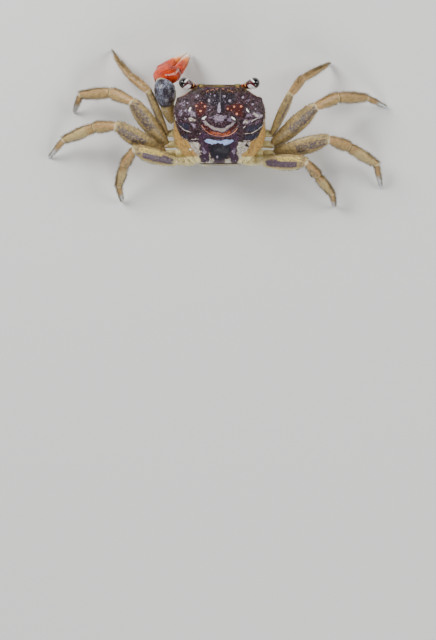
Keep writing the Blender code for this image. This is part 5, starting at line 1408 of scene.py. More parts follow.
def build_maxillipeds(colours, sizes):
    finish = shell_finish(
        "maxilliped_finish", colours, "khaki", "belly_ochre", (0.8, 0.5),
        [("pale", "porcelain_and_highlight", 0.9, 1.2, 0.85), ("dark", "night", 0.85, 0.7, 0.8)],
        roughness=(0.2, 0.4), grain=(0.3, 0.4), bump=0.2, coat=0.4)
    floor_plane = (np.array((0.0, -2.75, 0.0)), np.array((0.0, 1.0, 0.0)))
    draw = np.random.RandomState(9)
    dark_tufts, tan_tufts = [], []
    for side, side_name in SIDES:
        ischium = limb_grid(*mirrored(MAXILLIPED_ISCHIUM, side), (1, 0, 0), MAXILLIPED_OUTLINE,
                            MAXILLIPED_WIDTH, planes=(floor_plane, None))[0]
        merus, t, angle = limb_grid(*mirrored(MAXILLIPED_MERUS, side), (1, 0, 0), MAXILLIPED_OUTLINE,
                                    MAXILLIPED_WIDTH)
        palp = tube_grid(mirrored(MAXILLIPED_PALP, side), PALP_RADII, 40, 20, 0.05, 3)
        t, outer = t[:, None], side * np.cos(angle)[None]
        # Pale oval on each merus: its own pale colour with a painted highlight over it
        pale_oval_and_highlight = np.exp(-(((t - 0.5) / 0.36) ** 4 + ((outer - 0.25) / 0.8) ** 4))
        blue = np.exp(-(((t - 0.72) / 0.13) ** 4 + ((outer - 0.2) / 0.5) ** 4))
        parts = [grid_part(ischium), grid_part(merus, pale=pale_oval_and_highlight, dark=blue), grid_part(palp, dark=0.4)]
        name = f"maxilliped_{side_name}"
        add_piece(f"{name}_shell", parts, finish, name, 60)
        inner_side = np.clip(0.2 - outer, 0, 1)
        for rings, share, hairy in ((ischium, 1, 1), (merus, 2, 1 - 0.97 * pale_oval_and_highlight)):
            count = sizes.mouth_setae // share
            dark_tufts.append(tuft(rings, inner_side, count, draw, 0.9, 0.75, 0.03, 0.3, 0.4))
            outer_side = (1.05 - inner_side) * hairy
            tan_tufts.append(tuft(rings, outer_side, count, draw, 1.2, 0.55, 0.026, 0.25, 0.3))
        dark_tufts.append(tuft(palp, 1.0, sizes.mouth_setae // 4, draw, 0.6, 0.6, 0.028, 0.35, 0.4))
    pad = limb_grid((0.0, -3.3, 6.6), (0.0, -9.3, 12.3), (1, 0, 0), PAD_OUTLINE, 4.0)[0]
    pad_finish = plain_finish("mouth_pad_finish", colours)
    add_piece("mouth_pad", [grid_part(pad)], pad_finish, sharp=60)
    dark_tufts.append(tuft(pad, 1.0, sizes.mouth_setae * 3, draw, 0.9, 0.55, 0.026))
    add_setae("mouth_setae_dark", dark_tufts, plain_finish("mouth_setae_finish", colours))
    add_setae("mouth_setae_pale", tan_tufts, plain_finish("belly_setae_finish", colours))


# Walking legs


def limb_finish(colours):
    return shell_finish(
        "leg_finish", colours, "leg", "leg_second", (0.9, 0.5),
        [("warm", "leg_warm", 0.7, 0.9, 0.7), ("pale", "leg_pale", 0.85, 1.5, 0.85),
         ("dark", "leg_dark", 0.8, 0.6, 0.54), ("dark", "ink", 0.5, 0.35, 0.43),
         ("plum", "plum", 0.9, 0.5, 0.62), ("plum", "ink", 0.45, 0.35, 0.45),
         ("gold", "gold", 0.85, 0.5, 0.54), ("tip", "tip", 0.95)],
        specks=("leg_dark", 0.45, 0.42), roughness=(0.34, 0.55), grain=(0.25, 0.5), bump=0.3, coat=0.12,
        dissolving=("dark", "plum", "gold"))


def band(value, low, high, fade):
    """1 from low to high, fading to 0 over fade below low and above high."""
    return ramp(value, low - fade, fade) * fall(value, high, fade)


def limb_masks(kind, pair, rings, t, angle):
    """Where the colours of a leg segment lie; front is 1 along the crest and -1 along the rear edge."""
    t = t[:, None]
    front = np.cos(angle)[None]
    rise = rings[:, :, 2] - rings[:, :, 2].mean(axis=1, keepdims=True)
    upper = ramp(rise / np.maximum(np.abs(rise).max(axis=1, keepdims=True), 1e-9), -0.1, 0.4)
    masks = dict.fromkeys(("warm", "pale", "dark", "plum", "gold", "tip"), 0.0)
    if kind == "merus":
        reach = {1: (0.35, 0.95), 2: (0.45, 0.97), 3: (0.45, 0.92), 4: (0.2, 0.75)}[pair]
        strength = 0.25 if pair == 4 else 1.0
        masks["dark"] = upper * band(t, *reach, 0.2) * band(front, -0.8, 0.45, 0.45) * strength
        masks["dark"] = np.maximum(masks["dark"], 0.8 * upper * band(t, 0.86, 0.95, 0.04))
        masks["pale"] = np.maximum(ramp(t, 0.94, 0.04) * 0.2, 0.7 * fall(t, 0.0, 0.22) * (pair == 4))
        if pair == 4:
            masks["plum"] = upper * band(t, 0.14, 0.76, 0.16) * band(front, -0.45, 0.5, 0.35)
            masks["gold"] = upper * band(t, 0.4, 0.86, 0.14) * band(front, 0.35, 0.8, 0.25)
            masks["pale"] = np.maximum(masks["pale"], 0.8 * fall(front, -0.9, 0.35))
    elif kind == "carpus":
        masks["warm"] = 0.2 + 0.6 * np.maximum(band(front, 0.5, 0.9, 0.3), fall(t, 0.1, 0.3))
        strength = 0.8 if pair in (1, 4) else 0.35
        masks["dark"] = upper * strength * band(t, 0.35, 0.85, 0.15) * band(front, -0.6, 0.6, 0.3)
        masks["pale"] = 0.5 * ramp(t, 0.93, 0.05)
    elif kind == "propodus":
        masks["warm"] = 0.3 + 0.4 * band(front, 0.6, 1.1, 0.3) + 0.3 * fall(front, -0.9, 0.3)
        strength = 0.5 if pair in (1, 4) else 0.15
        masks["dark"] = upper * (0.5 * band(t, 0.78, 0.92, 0.08) + strength * band(t, 0.2, 0.7, 0.2))
        masks["pale"] = 0.6 * ramp(t, 0.94, 0.05) + 0.3 * band(t, 0.3, 0.8, 0.2) * (pair > 2)
    elif kind == "dactylus":
        masks["warm"] = 0.6 * fall(t, 0.3, 0.4)
        masks["tip"] = ramp(t, 0.3, 0.35)
    else:
        masks["pale"] = 0.75 + 0.25 * fall(t, 0.35, 0.2)
        masks["warm"] = 0.6 * band(t, 0.46, 0.62, 0.06)
    return masks


def leg_segments(side, side_name, pair):
    """Grid, masks and node name of each segment of a leg, and its joint sleeves."""
    joints, crests = leg_joints(side, side_name, pair)
    seat, seat_normal = sternum_socket(side, *HIP_START[pair])
    directions = [unit(b - a) for a, b in zip(joints, joints[1:])]
    hip_along = unit(joints[0] - seat)
    hip_planes = ((seat, seat_normal), mitre(joints[0], hip_along, directions[0], -1))
    made = {"hip": limb_grid(seat, joints[0], (0, 0, 1), HIP_OUTLINE, HIP_WIDTH[pair], planes=hip_planes)}
    sleeves = [sleeve_part(joints[0], hip_along, directions[0], 1.6, HIP_WIDTH[pair] * 0.33),
               sleeve_part(seat, seat_normal, hip_along, 1.4, HIP_WIDTH[pair] * 0.36)]
    parts = (("merus", MERUS_OUTLINE, MERUS_WIDTH[pair], MERUS_RIDGES),
             ("carpus", CARPUS_OUTLINE, CARPUS_WIDTH[pair], CARPUS_RIDGES),
             ("propodus", PROPODUS_OUTLINE, PROPODUS_WIDTH[pair], PROPODUS_RIDGES),
             ("dactylus", DACTYLUS_OUTLINE, DACTYLUS_WIDTH, DACTYLUS_RIDGES))
    for k, (kind, outline, width, ridges) in enumerate(parts):
        before = hip_along if k == 0 else directions[k - 1]
        start_plane = mitre(joints[k], before, directions[k], 1)
        if kind == "dactylus":
            end_plane = ((0.0, 0.0, 0.0), np.array((0.0, 0.0, 1.0)))
            bow = np.cross(directions[k], unit(np.cross((0, 0, 1), directions[k]))) * DACTYLUS_BOW
        else:
            end_plane = mitre(joints[k + 1], directions[k], directions[k + 1], -1)
            bow = (0, 0, 0)
            sleeves.append(sleeve_part(joints[k + 1], directions[k], directions[k + 1], 1.5, width * 0.24))
        made[kind] = limb_grid(joints[k], joints[k + 1], crests[k], outline, width, 48, 72, bow,
                               (start_plane, end_plane), ridges)
    place, depth, length, radius = MERUS_TOOTH
    root = joints[0] + directions[0] * SEGMENT_LENGTHS[pair][0] * place
    root = root + crests[0] * MERUS_WIDTH[pair] * depth
    tooth = spine_part(root, crests[0] + directions[0] * 0.9, length, radius, warm=0.8)
    return made, sleeves, tooth


def build_leg(side, side_name, pair, colours, sizes):
    made, sleeves, tooth = leg_segments(side, side_name, pair)
    name = f"leg_{side_name}_{pair}"
    finish = limb_finish(colours)
    draw = np.random.RandomState(40 + pair + (10 if side > 0 else 0))
    tufts = []
    for kind, (rings, t, angle) in made.items():
        swollen = surface_normals(rings)[0] * (0.05 * noise(rings, 0.8, 31))[..., None]
        rings = rings + swollen * band(t, 0.06, 0.94, 0.05)[:, None, None]
        parts = [grid_part(rings, **limb_masks(kind, pair, rings, t, angle))]
        if kind == "merus":
            parts.append(tooth)
        add_piece(f"{name}_{kind}_shell", parts, finish, f"{name}_{kind}")
        edges = ramp(np.abs(np.cos(angle))[None], 0.75, 0.25) + 0.07
        count, length = SETAE_BY_KIND[kind]
        fade = 1 - ramp(t, 0.75, 0.2) if kind == "dactylus" else 0.5 + 0.5 * ramp(t, 0.2, 0.4)
        tufts.append(tuft(rings, edges * fade[:, None], int(sizes.leg_setae * count), draw, 0.9,
                          sizes.leg_seta_length * length, 0.032, 0.28))
    add_setae(f"{name}_setae", tufts, plain_finish("leg_setae_finish", colours))
    add_piece(f"{name}_membranes", sleeves, plain_finish("membrane_finish", colours), sharp=60)


def build_legs(colours, sizes):
    for side, side_name in SIDES:
        for pair in SEGMENT_LENGTHS:
            build_leg(side, side_name, pair, colours, sizes)


# Chelipeds


def bowed_ends(start, end, bow):
    """Directions in which a bowed segment starts and ends."""
    return unit(end - start + bow * 4), unit(end - start - bow * 4)


def claw_point(share, across):
    """A point in the plane of the claw, by its share of the claw's length and distance off its axis."""
    return CHELA_WRIST + unit(CHELA_AXIS) * CHELA_LENGTH * share + unit(CHELA_CREST) * across


def claw_grid(edges, start_plane=None, stations=150, sides=56, boxiness=0.9):
    """Rings of a finger or palm between its two edges, fuller than an oval."""
    shares = np.array([row[0] for row in edges])
    places = np.interp(np.linspace(0, 1, stations), np.linspace(0, 1, len(edges)), shares)
    inner, outer, thick = (np.interp(places, shares, [row[k] for row in edges]) for k in (1, 2, 3))
    for values in (inner, outer, thick):
        values[1:-1] = (values[:-2] + 2 * values[1:-1] + values[2:]) / 4
    # The last stretch closes to a rounded point
    left = (places[-1] - places) * CHELA_LENGTH
    closing = np.sqrt(np.clip(1 - (1 - np.clip(left / TIP_ROUNDING, 0, 1)) ** 2, 0.02, 1))
    middle = (inner + outer) / 2
    inner, outer = middle + (inner - middle) * closing, middle + (outer - middle) * closing
    thick = thick * closing
    flat = np.cross(unit(CHELA_AXIS), unit(CHELA_CREST))
    angle = 2 * math.pi * (np.arange(sides) + 0.5) / sides
    cosine = np.sign(np.cos(angle)) * np.abs(np.cos(angle)) ** boxiness
    sine = np.sign(np.sin(angle)) * np.abs(np.sin(angle)) ** boxiness
    across = ((inner + outer) / 2)[:, None] + ((inner - outer) / 2)[:, None] * cosine
    rings = claw_point(places[:, None, None], across[..., None]) + flat * (thick[:, None] * sine)[..., None]
    if start_plane is not None:
        along = np.broadcast_to(unit(CHELA_AXIS), (stations, 3))
        rings = met(rings, 0, start_plane, along, np.clip(1 - (places - places[0]) / 0.12, 0, 1))
    return rings, places, angle


def fingertip_masks(share):
    """The claw turns yellow and then white towards its tips."""
    return {"yellow": ramp(share, CLAW_YELLOW_FROM, 0.16), "white": ramp(share, CLAW_WHITE_FROM, 0.16)}


def claw_masks(rings, places, angle):
    """Red at the palm, yellow along the fingers and white at their tips."""
    uneven = 0.05 * noise(rings, 1.6, 51) + 0.03 * noise(rings, 0.6, 52)
    upward = unit(rings - rings.mean(axis=1, keepdims=True) + 1e-9) @ unit((0.0, 0.5, 0.9))
    share = places[:, None] + uneven - 0.2 * np.clip(upward, -0.65, 1)
    inner = np.cos(angle)[None]
    x, y = rings[:, :, 0], rings[:, :, 1]
    return {
        "brown": np.maximum(fall(share, 0.02, 0.14) * 0.5,
                            0.9 * band(share, 0.1, 0.26, 0.08) * ramp(inner, 0.1, 0.5)),
        "wear": ramp(inner, 0.4, 0.6) * ramp(share, 0.36, 0.05),
        "centre": oval_mask(x, y, [PALM_DARK_OVAL], 0.6, 0.6) * ramp(upward, 0.3, 0.3),
        "crescent": line_mask(x, y, [PALM_CRESCENT], 0.26) * ramp(upward, 0.1, 0.3),
        **fingertip_masks(share),
    }


def edge_spines(edges, shares, inner_edge, length, radius, draw, **masks):
    """Teeth or tubercles in a row, sunk into one edge of a finger."""
    places = [row[0] for row in edges]
    values = [row[1] if inner_edge else row[2] for row in edges]
    outward = unit(CHELA_CREST) * (1 if inner_edge else -1)
    sink = 0.5
    pieces = []
    for share in shares:
        size = draw.uniform(0.7, 1.15)
        root = claw_point(share, float(np.interp(share, places, values))) - outward * sink
        shown = {**fingertip_masks(share), **masks}
        pieces.append(spine_part(root, outward, length * size + sink, radius * size, bluntness=0.5, **shown))
    return pieces


def build_left_cheliped(colours, sizes):
    seat, seat_normal = sternum_socket(1, CHELA_HIP_Y, CHELA_HIP_Z)
    palm_along = unit(CHELA_AXIS)
    merus_along = unit(CHELA_KNEE - CHELA_ELBOW)
    hip_leaves = bowed_ends(seat, CHELA_ELBOW, CHELA_HIP_BOW)[1]
    carpus_starts, carpus_leaves = bowed_ends(CHELA_KNEE, CHELA_WRIST, CHELA_CARPUS_BOW)
    elbow = (CHELA_ELBOW, hip_leaves, merus_along)
    knee = (CHELA_KNEE, merus_along, carpus_starts)
    wrist = (CHELA_WRIST, carpus_leaves, palm_along)
    finish = limb_finish(colours)
    draw = np.random.RandomState(61)
    tufts = []

    def add_segment(kind, parts, shell):
        add_piece(f"cheliped_left_{kind}_shell", parts, shell, f"cheliped_left_{kind}")

    rings, t, angle = limb_grid(seat, CHELA_ELBOW, (0, 0, 1), CHELA_HIP_OUTLINE, CHELA_HIP_WIDTH, 48, 60,
                                CHELA_HIP_BOW, ((seat, seat_normal), mitre(*elbow, -1)))
    add_segment("hip", [grid_part(rings, **limb_masks("hip", 1, rings, t, angle))], finish)
    tufts.append(tuft(rings, 1.0, 120, draw, 0.8, 0.6, 0.03))

    rings, t, angle = limb_grid(CHELA_ELBOW, CHELA_KNEE, (0, -1, 0.4), CHELA_MERUS_OUTLINE, CHELA_MERUS_WIDTH,
                                56, 96, planes=(mitre(*elbow, 1), mitre(*knee, -1)))
    # Curved cross lines, each a low scale edge with a painted shadow behind it
    wave = t[:, None] * 13 + 0.5 * np.cos(angle * 2)[None] + 0.25 * noise(rings, 1.5, 62)
    scale = (wave % 1.0) * band(t, 0.08, 0.9, 0.05)[:, None]
    rings = rings + surface_normals(rings)[0] * (0.1 * scale)[..., None]
    masks = {name: value * 0.3 for name, value in limb_masks("hip", 1, rings, t, angle).items()}
    masks["plum"] = 0.9 * band(wave % 1.0, 0.0, 0.18, 0.1) * band(t, 0.1, 0.92, 0.05)[:, None]
    add_segment("merus", [grid_part(rings, **masks)], finish)
    edges = ramp(np.abs(np.cos(angle)), 0.8, 0.2)[None] + 0.1
    tufts.append(tuft(rings, edges, 260, draw, 0.8, 0.6, 0.03))

    rings, t, angle = limb_grid(CHELA_KNEE, CHELA_WRIST, (0, 0, 1), CHELA_CARPUS_OUTLINE, CHELA_CARPUS_WIDTH,
                                64, 84, CHELA_CARPUS_BOW, (mitre(*knee, 1), mitre(*wrist, -1)))
    bumps = np.clip(noise(rings, 0.75, 63), 0, 1) * band(t, 0.1, 0.9, 0.08)[:, None]
    rings = rings + surface_normals(rings)[0] * (0.16 * bumps)[..., None]
    outward = unit(rings - rings.mean(axis=1, keepdims=True) + 1e-9)
    inner_side = ramp(outward @ unit((-0.8, 0.5, -0.35)), 0.45, 0.4)
    ends = np.maximum(ramp(t, 0.9, 0.07), fall(t, 0.03, 0.08))[:, None]
    pale = np.clip(0.9 * noise(rings, 1.6, 64) + 0.35, 0, 1) * band(t, 0.2, 0.9, 0.1)[:, None]
    wrist_finish = shell_finish(
        "wrist_finish", colours, "wrist", "ink", (0.5, 0.34),
        [("pale", "wrist_pale", 0.85, 0.4, 0.5), ("rim", "khaki", 0.85, 0.6, 0.62)],
        specks=("spots", 0.4, 0.5), roughness=(0.25, 0.42), grain=(0.3, 0.6), bump=0.35)
    shell = grid_part(rings, pale=pale, rim=np.maximum(ends, 0.85 * inner_side))
    add_segment("carpus", [shell], wrist_finish)
    tufts.append(tuft(rings, 1.0, 160, draw, 0.6, 0.4, 0.025))
    add_setae("cheliped_left_setae", tufts, plain_finish("leg_setae_finish", colours))

    claw_finish = shell_finish(
        "claw_finish", colours, "claw", "claw_dark", (1.6, 0.45),
        [("brown", "claw_brown", 0.7, 0.8, 0.7), ("yellow", "claw_yellow", 0.9),
         ("white", "claw_white", 0.95), ("wear", "claw_yellow", 0.25, 0.6, 0.6),
         ("centre", "claw_brown", 0.75, 0.6, 0.7), ("crescent", "cream_light", 0.6, 0.5, 0.54),
         ("tubercle", "claw_brown", 0.85)],
        specks=("claw_yellow", 0.3, 0.7), roughness=(0.24, 0.4), grain=(0.35, 0.35), bump=0.14)
    rings, places, angle = claw_grid(PALM_EDGES, mitre(*wrist, 1))
    palm = [grid_part(rings, **claw_masks(rings, places, angle)),
            *edge_spines(PALM_EDGES[5:], PALM_TEETH, True, 0.4, 0.42, draw)]
    add_segment("palm", palm, claw_finish)
    rings, places, angle = claw_grid(FINGER_EDGES)
    finger = [grid_part(rings, **claw_masks(rings, places, angle)),
              *edge_spines(FINGER_EDGES, FINGER_TEETH, False, 0.3, 0.36, draw),
              *edge_spines(FINGER_EDGES, FINGER_TUBERCLES, True, 0.36, 0.42, draw, tubercle=0.8)]
    add_segment("dactylus", finger, claw_finish)

    hinge = (claw_point(0.335, 1.9), palm_along, palm_along)
    sleeves = [sleeve_part(seat, seat_normal, hip_leaves, 1.6, 1.4), sleeve_part(*elbow, 1.6, 1.3),
               sleeve_part(*knee, 1.6, 1.3), sleeve_part(*wrist, 1.7, 1.5), sleeve_part(*hinge, 1.8, 1.2)]
    membrane = plain_finish("membrane_finish", colours)
    add_piece("cheliped_left_membranes", sleeves, membrane, sharp=60)


def build_right_stump(colours, sizes):
    """Only the coxa is left of the right cheliped, closed by a pale plug."""
    seat, seat_normal = sternum_socket(-1, CHELA_HIP_Y, CHELA_HIP_Z)
    rings, t, _ = limb_grid(seat, STUMP_END, (0, 0, 1), STUMP_OUTLINE, STUMP_WIDTH, 48, 80,
                            planes=((seat, seat_normal), None))
    t = t[:, None]
    finish = shell_finish(
        "stump_finish", colours, "leg_pale", "cream", (1.2, 0.5),
        [("plug", "ice", 0.8, 1.0, 0.8), ("rim", "gold", 0.7)],
        roughness=(0.25, 0.4), grain=(0.3, 0.4), bump=0.2, coat=0.4)
    stump = grid_part(rings, plug=ramp(t, 0.86, 0.03), rim=band(t, 0.8, 0.86, 0.03))
    add_piece("cheliped_right_stump_shell", [stump], finish, "cheliped_right_stump")
    draw = np.random.RandomState(71)
    tufts = [tuft(rings, band(t, 0.3, 0.84, 0.1), 140, draw, 0.7, 0.7, 0.03)]
    add_setae("cheliped_right_stump_setae", tufts, plain_finish("belly_setae_finish", colours))


# Camera, lights and floor

# The photograph looks straight down, head towards its upper edge, with the crab in its upper third
CAMERA_HEIGHT = 2.02
FRAME_LONG_SIDE = 0.2099
FRAME_CENTRE = (0.00004, 0.06344)
SENSOR = 36.0
FLOOR_HALF = 2.0


def build_stage(studio):
    scene = bpy.context.scene
    lens = bpy.data.cameras.new("camera")
    lens.sensor_width = SENSOR
    lens.lens = SENSOR * (CAMERA_HEIGHT - 0.02) / FRAME_LONG_SIDE
    lens.clip_end = 20.0
    camera = bpy.data.objects.new("camera", lens)
    camera.location = (*FRAME_CENTRE, CAMERA_HEIGHT)
    camera.rotation_euler = (0.0, 0.0, math.pi)
    scene.collection.objects.link(camera)
    scene.camera = camera

    mesh = bpy.data.meshes.new("floor")
    corners = [(x * FLOOR_HALF, y * FLOOR_HALF, 0) for x, y in ((-1, -1), (1, -1), (1, 1), (-1, 1))]
    mesh.from_pydata(corners, [], [(0, 1, 2, 3)])
    floor = bpy.data.objects.new("floor", mesh)
    paper, _, sockets = new_material("floor_paper")
    sockets["Base Color"].default_value = (*studio.floor, 1.0)
    sockets["Roughness"].default_value = 0.9
    mesh.materials.append(paper)
    scene.collection.objects.link(floor)

    lights = (("key_softbox", (0.34, -0.3, 0.36), 0.26, studio.key),
              ("fill_softbox", (-0.42, -0.16, 0.34), 0.3, studio.fill),
              ("back_softbox", (-0.05, 0.46, 0.36), 0.3, studio.back))
    for name, place, size, energy in lights:
        light = bpy.data.lights.new(name, "AREA")
        light.shape = "SQUARE"
        light.size = size
        light.energy = energy
        lamp = bpy.data.objects.new(name, light)
        lamp.location = place
        aim = np.array((0.0, 0.0, 0.012)) - np.array(place)
        lean = math.acos(-aim[2] / np.linalg.norm(aim))
        lamp.rotation_euler = (lean, 0.0, math.atan2(aim[1], aim[0]) - math.pi / 2)
        scene.collection.objects.link(lamp)
    world = scene.world or bpy.data.worlds.new("studio")
    scene.world = world
    world.use_nodes = True
    sky = world.node_tree.nodes["Background"]
    sky.inputs["Color"].default_value = (1.0, 1.0, 1.0, 1.0)
    sky.inputs["Strength"].default_value = studio.ambient


# Settings a user would change


def tint(label, description, red, green, blue):
    return bpy.props.FloatVectorProperty(name=label, description=description, subtype="COLOR", size=3,
                                         min=0.0, max=1.0, default=linear(red, green, blue))


def amount(label, description, default):
    return bpy.props.IntProperty(name=label, description=description, default=default, min=0)


def power(label, description, default):
    return bpy.props.FloatProperty(name=label, description=description, default=default, unit="POWER")


class CrabColours(bpy.types.PropertyGroup):
    """Colours of the shell, the limbs and the eyes."""
    back: tint("Back", "Ground of the carapace", 34, 18, 22)
    back_mottle: tint("Back mottle", "Fine blotches on the carapace", 84, 56, 66)
    lilac: tint("Lilac", "Lilac haze on the carapace", 140, 122, 146)
    steel: tint("Steel", "Blue-grey bands on the sides of the back", 42, 44, 62)
    steel_pale: tint("Pale steel", "Stripe along the pleon", 150, 156, 160)
    ink: tint("Ink", "Darkest blue-black", 19, 18, 32)
    purple: tint("Purple", "Dark purple zones at the rear of the back", 62, 36, 60)
    rust: tint("Rust", "Red-brown patches", 76, 18, 7)
    orange: tint("Orange", "Orange of the groove and the brows", 168, 74, 26)
    cream: tint("Cream", "Cream margin and lines", 152, 140, 122)
    ochre: tint("Ochre", "Side walls", 172, 130, 66)
    ice: tint("Ice", "Blue-white patches", 160, 186, 236)
    cheek: tint("Cheek", "Cheeks beside the mouth", 190, 142, 94)
    # Dark violet of the left cheek: partly the cheek's own colour, partly painted shade
    violet_and_shade: tint("Violet", "Middle of the cheeks", 98, 88, 150)
    cream_light: tint("Light cream", "Lightest blotches of the pale zones", 218, 212, 200)
    gold_pale: tint("Pale gold", "Golden blotches of the side walls", 206, 168, 90)
    lilac_pale: tint("Pale lilac", "Lilac bloom on the cheeks", 190, 174, 192)
    sill: tint("Sill", "Orange-brown strip above the mouth", 168, 92, 40)
    shade: tint("Shade", "Grey-green shade under the ridges of the face", 58, 52, 38)
    ridge: tint("Ridge", "Pale orange ridge under each orbit", 232, 170, 92)
    night: tint("Night blue", "Epistome and the dark of the front", 20, 22, 44)
    teal: tint("Teal", "Middle of the face", 28, 48, 60)
    slate: tint("Slate", "Hairy pad between the mouthparts", 66, 74, 82)
    # Pale ovals of the mouthparts, whitened partly as a painted highlight
    porcelain_and_highlight: tint("Porcelain", "Glossy ovals on the mouthparts", 226, 224, 238)
    olive: tint("Olive", "Pale band along the front", 142, 132, 58)
    peach: tint("Peach", "Pink spots and dashes", 222, 146, 112)
    spots: tint("Spots", "Pale spots", 172, 158, 178)
    white: tint("White", "White streaks", 246, 244, 242)
    belly: tint("Belly", "Ground of the sternum and pleon", 224, 212, 184)
    belly_blue: tint("Belly blue", "Bluish areas of the belly", 188, 200, 206)
    belly_ochre: tint("Belly ochre", "Warm edges of the belly", 190, 146, 82)
    khaki: tint("Khaki", "Mouthparts", 186, 168, 118)
    leg: tint("Leg", "Ground of the legs", 178, 152, 98)
    leg_second: tint("Leg mottle", "Second colour of the legs", 140, 122, 84)
    leg_warm: tint("Leg warm", "Orange-brown of carpi and propodi", 184, 140, 92)
    leg_pale: tint("Leg pale", "Hips and rims", 234, 222, 160)
    leg_dark: tint("Leg dark", "Blue-grey mottling of the meri", 80, 72, 86)
    # Plum also paints the shadow behind each scale edge of the cheliped's merus
    plum: tint("Plum", "Purple-grey patch of the last legs", 84, 68, 94)
    gold: tint("Gold", "Golden spots of the last legs", 226, 200, 104)
    tip: tint("Tip", "Tips of the feet", 206, 212, 218)
    membrane: tint("Membrane", "Joint membranes", 208, 198, 168)
    claw: tint("Claw", "Palm of the claw", 200, 58, 0)
    claw_dark: tint("Claw dark", "Darker blotches of the palm", 150, 16, 0)
    claw_brown: tint("Claw brown", "Tubercles and the base of the palm", 84, 18, 10)
    claw_yellow: tint("Claw yellow", "Fingers", 244, 140, 44)
    claw_white: tint("Claw white", "Finger tips", 232, 226, 214)
    wrist: tint("Wrist", "Carpus of the cheliped", 46, 40, 48)
    wrist_pale: tint("Wrist pale", "Blotches of the carpus", 160, 168, 188)
    stalk: tint("Stalk", "Eyestalks", 74, 10, 16)
    stalk_dark: tint("Stalk dark", "Blotches of the eyestalks", 26, 8, 12)
    cornea: tint("Cornea", "Eyes", 4, 4, 5)
    cornea_brown: tint("Cornea brown", "Brown blotches in the eyes", 12, 9, 8)
    setae: tint("Setae", "Bristles", 140, 118, 72)
    setae_dark: tint("Dark setae", "Darkest bristles", 72, 58, 34)
    setae_pale: tint("Pale setae", "Bristles of the belly", 200, 184, 138)
    setae_grey: tint("Grey setae", "Bristles between the mouthparts", 74, 82, 90)


class CrabSizes(bpy.types.PropertyGroup):
    """Numbers and lengths of the bristles."""
    leg_setae: amount("Leg setae", "Bristles on the longest leg segment", 700)
    leg_seta_length: bpy.props.FloatProperty(
        name="Leg seta length", description="Longest bristles of the legs, in mm", default=1.25, min=0.1)
    back_setae: amount("Back setae", "Bristles of the carapace", 2600)
    belly_setae: amount("Belly setae", "Bristles of the sternum", 1400)
    mouth_setae: amount("Mouth setae", "Bristles of each mouthpart plate", 900)


class StudioSettings(bpy.types.PropertyGroup):
    """Floor and lights."""
    floor: tint("Floor", "Floor paper", 222, 222, 220)
    key: power("Key", "Power of the main softbox", 4.4)
    fill: power("Fill", "Power of the side softbox", 2.2)
    back: power("Back", "Power of the rear softbox", 1.9)
    ambient: bpy.props.FloatProperty(name="Ambient", description="Strength of the even light", default=0.13)


# Operators


def made_by(builder, context):
    """Runs a builder with the scene's settings."""
    builder(context.scene.crab_colours, context.scene.crab_sizes)
    return {"FINISHED"}


class CRAB_OT_stage(bpy.types.Operator):
    """Sets up the camera, the floor and the softboxes"""
    bl_idname = "crab.stage"
    bl_label = "Camera and Studio"

    def execute(self, context):
        build_stage(context.scene.crab_studio)
        return {"FINISHED"}


class CRAB_OT_carapace(bpy.types.Operator):
    """Builds the carapace with its lobes, markings and bristles"""
    bl_idname = "crab.carapace"
    bl_label = "Carapace"

    def execute(self, context):
        return made_by(build_carapace, context)


class CRAB_OT_sternum(bpy.types.Operator):
    """Builds the sternum with its seams"""
    bl_idname = "crab.sternum"
    bl_label = "Sternum"

    def execute(self, context):
        return made_by(build_sternum, context)


class CRAB_OT_pleon(bpy.types.Operator):
    """Builds the telson and the somites of the pleon"""
    bl_idname = "crab.pleon"
    bl_label = "Pleon"

    def execute(self, context):
        return made_by(build_pleon, context)


class CRAB_OT_eyes(bpy.types.Operator):
    """Builds the eyestalks and the corneas"""
    bl_idname = "crab.eyes"
    bl_label = "Eyes"

    def execute(self, context):
        return made_by(build_eyes, context)


class CRAB_OT_antennae(bpy.types.Operator):
    """Builds the antennae and the folded antennules"""
    bl_idname = "crab.antennae"
    bl_label = "Antennae"

    def execute(self, context):
        return made_by(build_antennae, context)


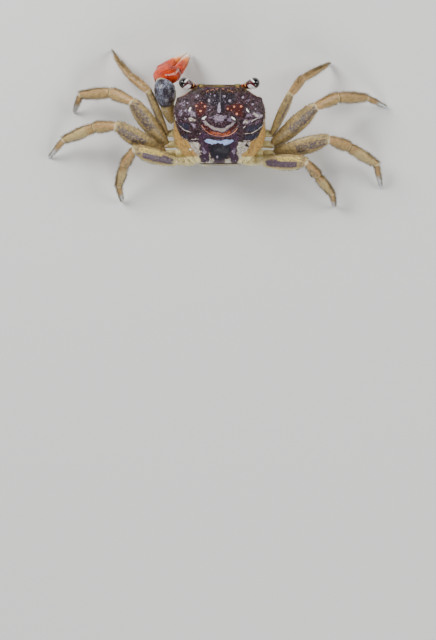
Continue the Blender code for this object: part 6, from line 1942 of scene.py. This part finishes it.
class CRAB_OT_maxillipeds(bpy.types.Operator):
    """Builds the third maxillipeds and the bristles between them"""
    bl_idname = "crab.maxillipeds"
    bl_label = "Mouthparts"

    def execute(self, context):
        return made_by(build_maxillipeds, context)


class CRAB_OT_legs(bpy.types.Operator):
    """Builds the eight walking legs"""
    bl_idname = "crab.legs"
    bl_label = "Walking Legs"

    def execute(self, context):
        return made_by(build_legs, context)


class CRAB_OT_cheliped(bpy.types.Operator):
    """Builds the left cheliped with its claw"""
    bl_idname = "crab.cheliped"
    bl_label = "Left Cheliped"

    def execute(self, context):
        return made_by(build_left_cheliped, context)


class CRAB_OT_stump(bpy.types.Operator):
    """Builds what is left of the right cheliped"""
    bl_idname = "crab.stump"
    bl_label = "Right Stump"

    def execute(self, context):
        return made_by(build_right_stump, context)


class CRAB_PT_panel(bpy.types.Panel):
    """Lists the steps that build the crab."""
    bl_label = "Crab"
    bl_space_type = "VIEW_3D"
    bl_region_type = "UI"
    bl_category = "Crab"

    def draw(self, context):
        for operator in OPERATORS:
            self.layout.operator(operator.bl_idname)
        for settings in (context.scene.crab_sizes, context.scene.crab_studio, context.scene.crab_colours):
            box = self.layout.box()
            for name in type(settings).__annotations__:
                box.prop(settings, name)


OPERATORS = (CRAB_OT_stage, CRAB_OT_carapace, CRAB_OT_sternum, CRAB_OT_pleon, CRAB_OT_eyes, CRAB_OT_antennae,
             CRAB_OT_maxillipeds, CRAB_OT_legs, CRAB_OT_cheliped, CRAB_OT_stump)
SETTINGS = (("crab_colours", CrabColours), ("crab_sizes", CrabSizes), ("crab_studio", StudioSettings))


def register():
    for name, settings in SETTINGS:
        bpy.utils.register_class(settings)
        setattr(bpy.types.Scene, name, bpy.props.PointerProperty(type=settings))
    for made in (*OPERATORS, CRAB_PT_panel):
        bpy.utils.register_class(made)


def unregister():
    for made in reversed((*OPERATORS, CRAB_PT_panel)):
        bpy.utils.unregister_class(made)
    for name, settings in reversed(SETTINGS):
        delattr(bpy.types.Scene, name)
        bpy.utils.unregister_class(settings)


def main():
    register()
    for operator in OPERATORS:
        group, name = operator.bl_idname.split(".")
        getattr(getattr(bpy.ops, group), name)()


if __name__ == "__main__":
    main()
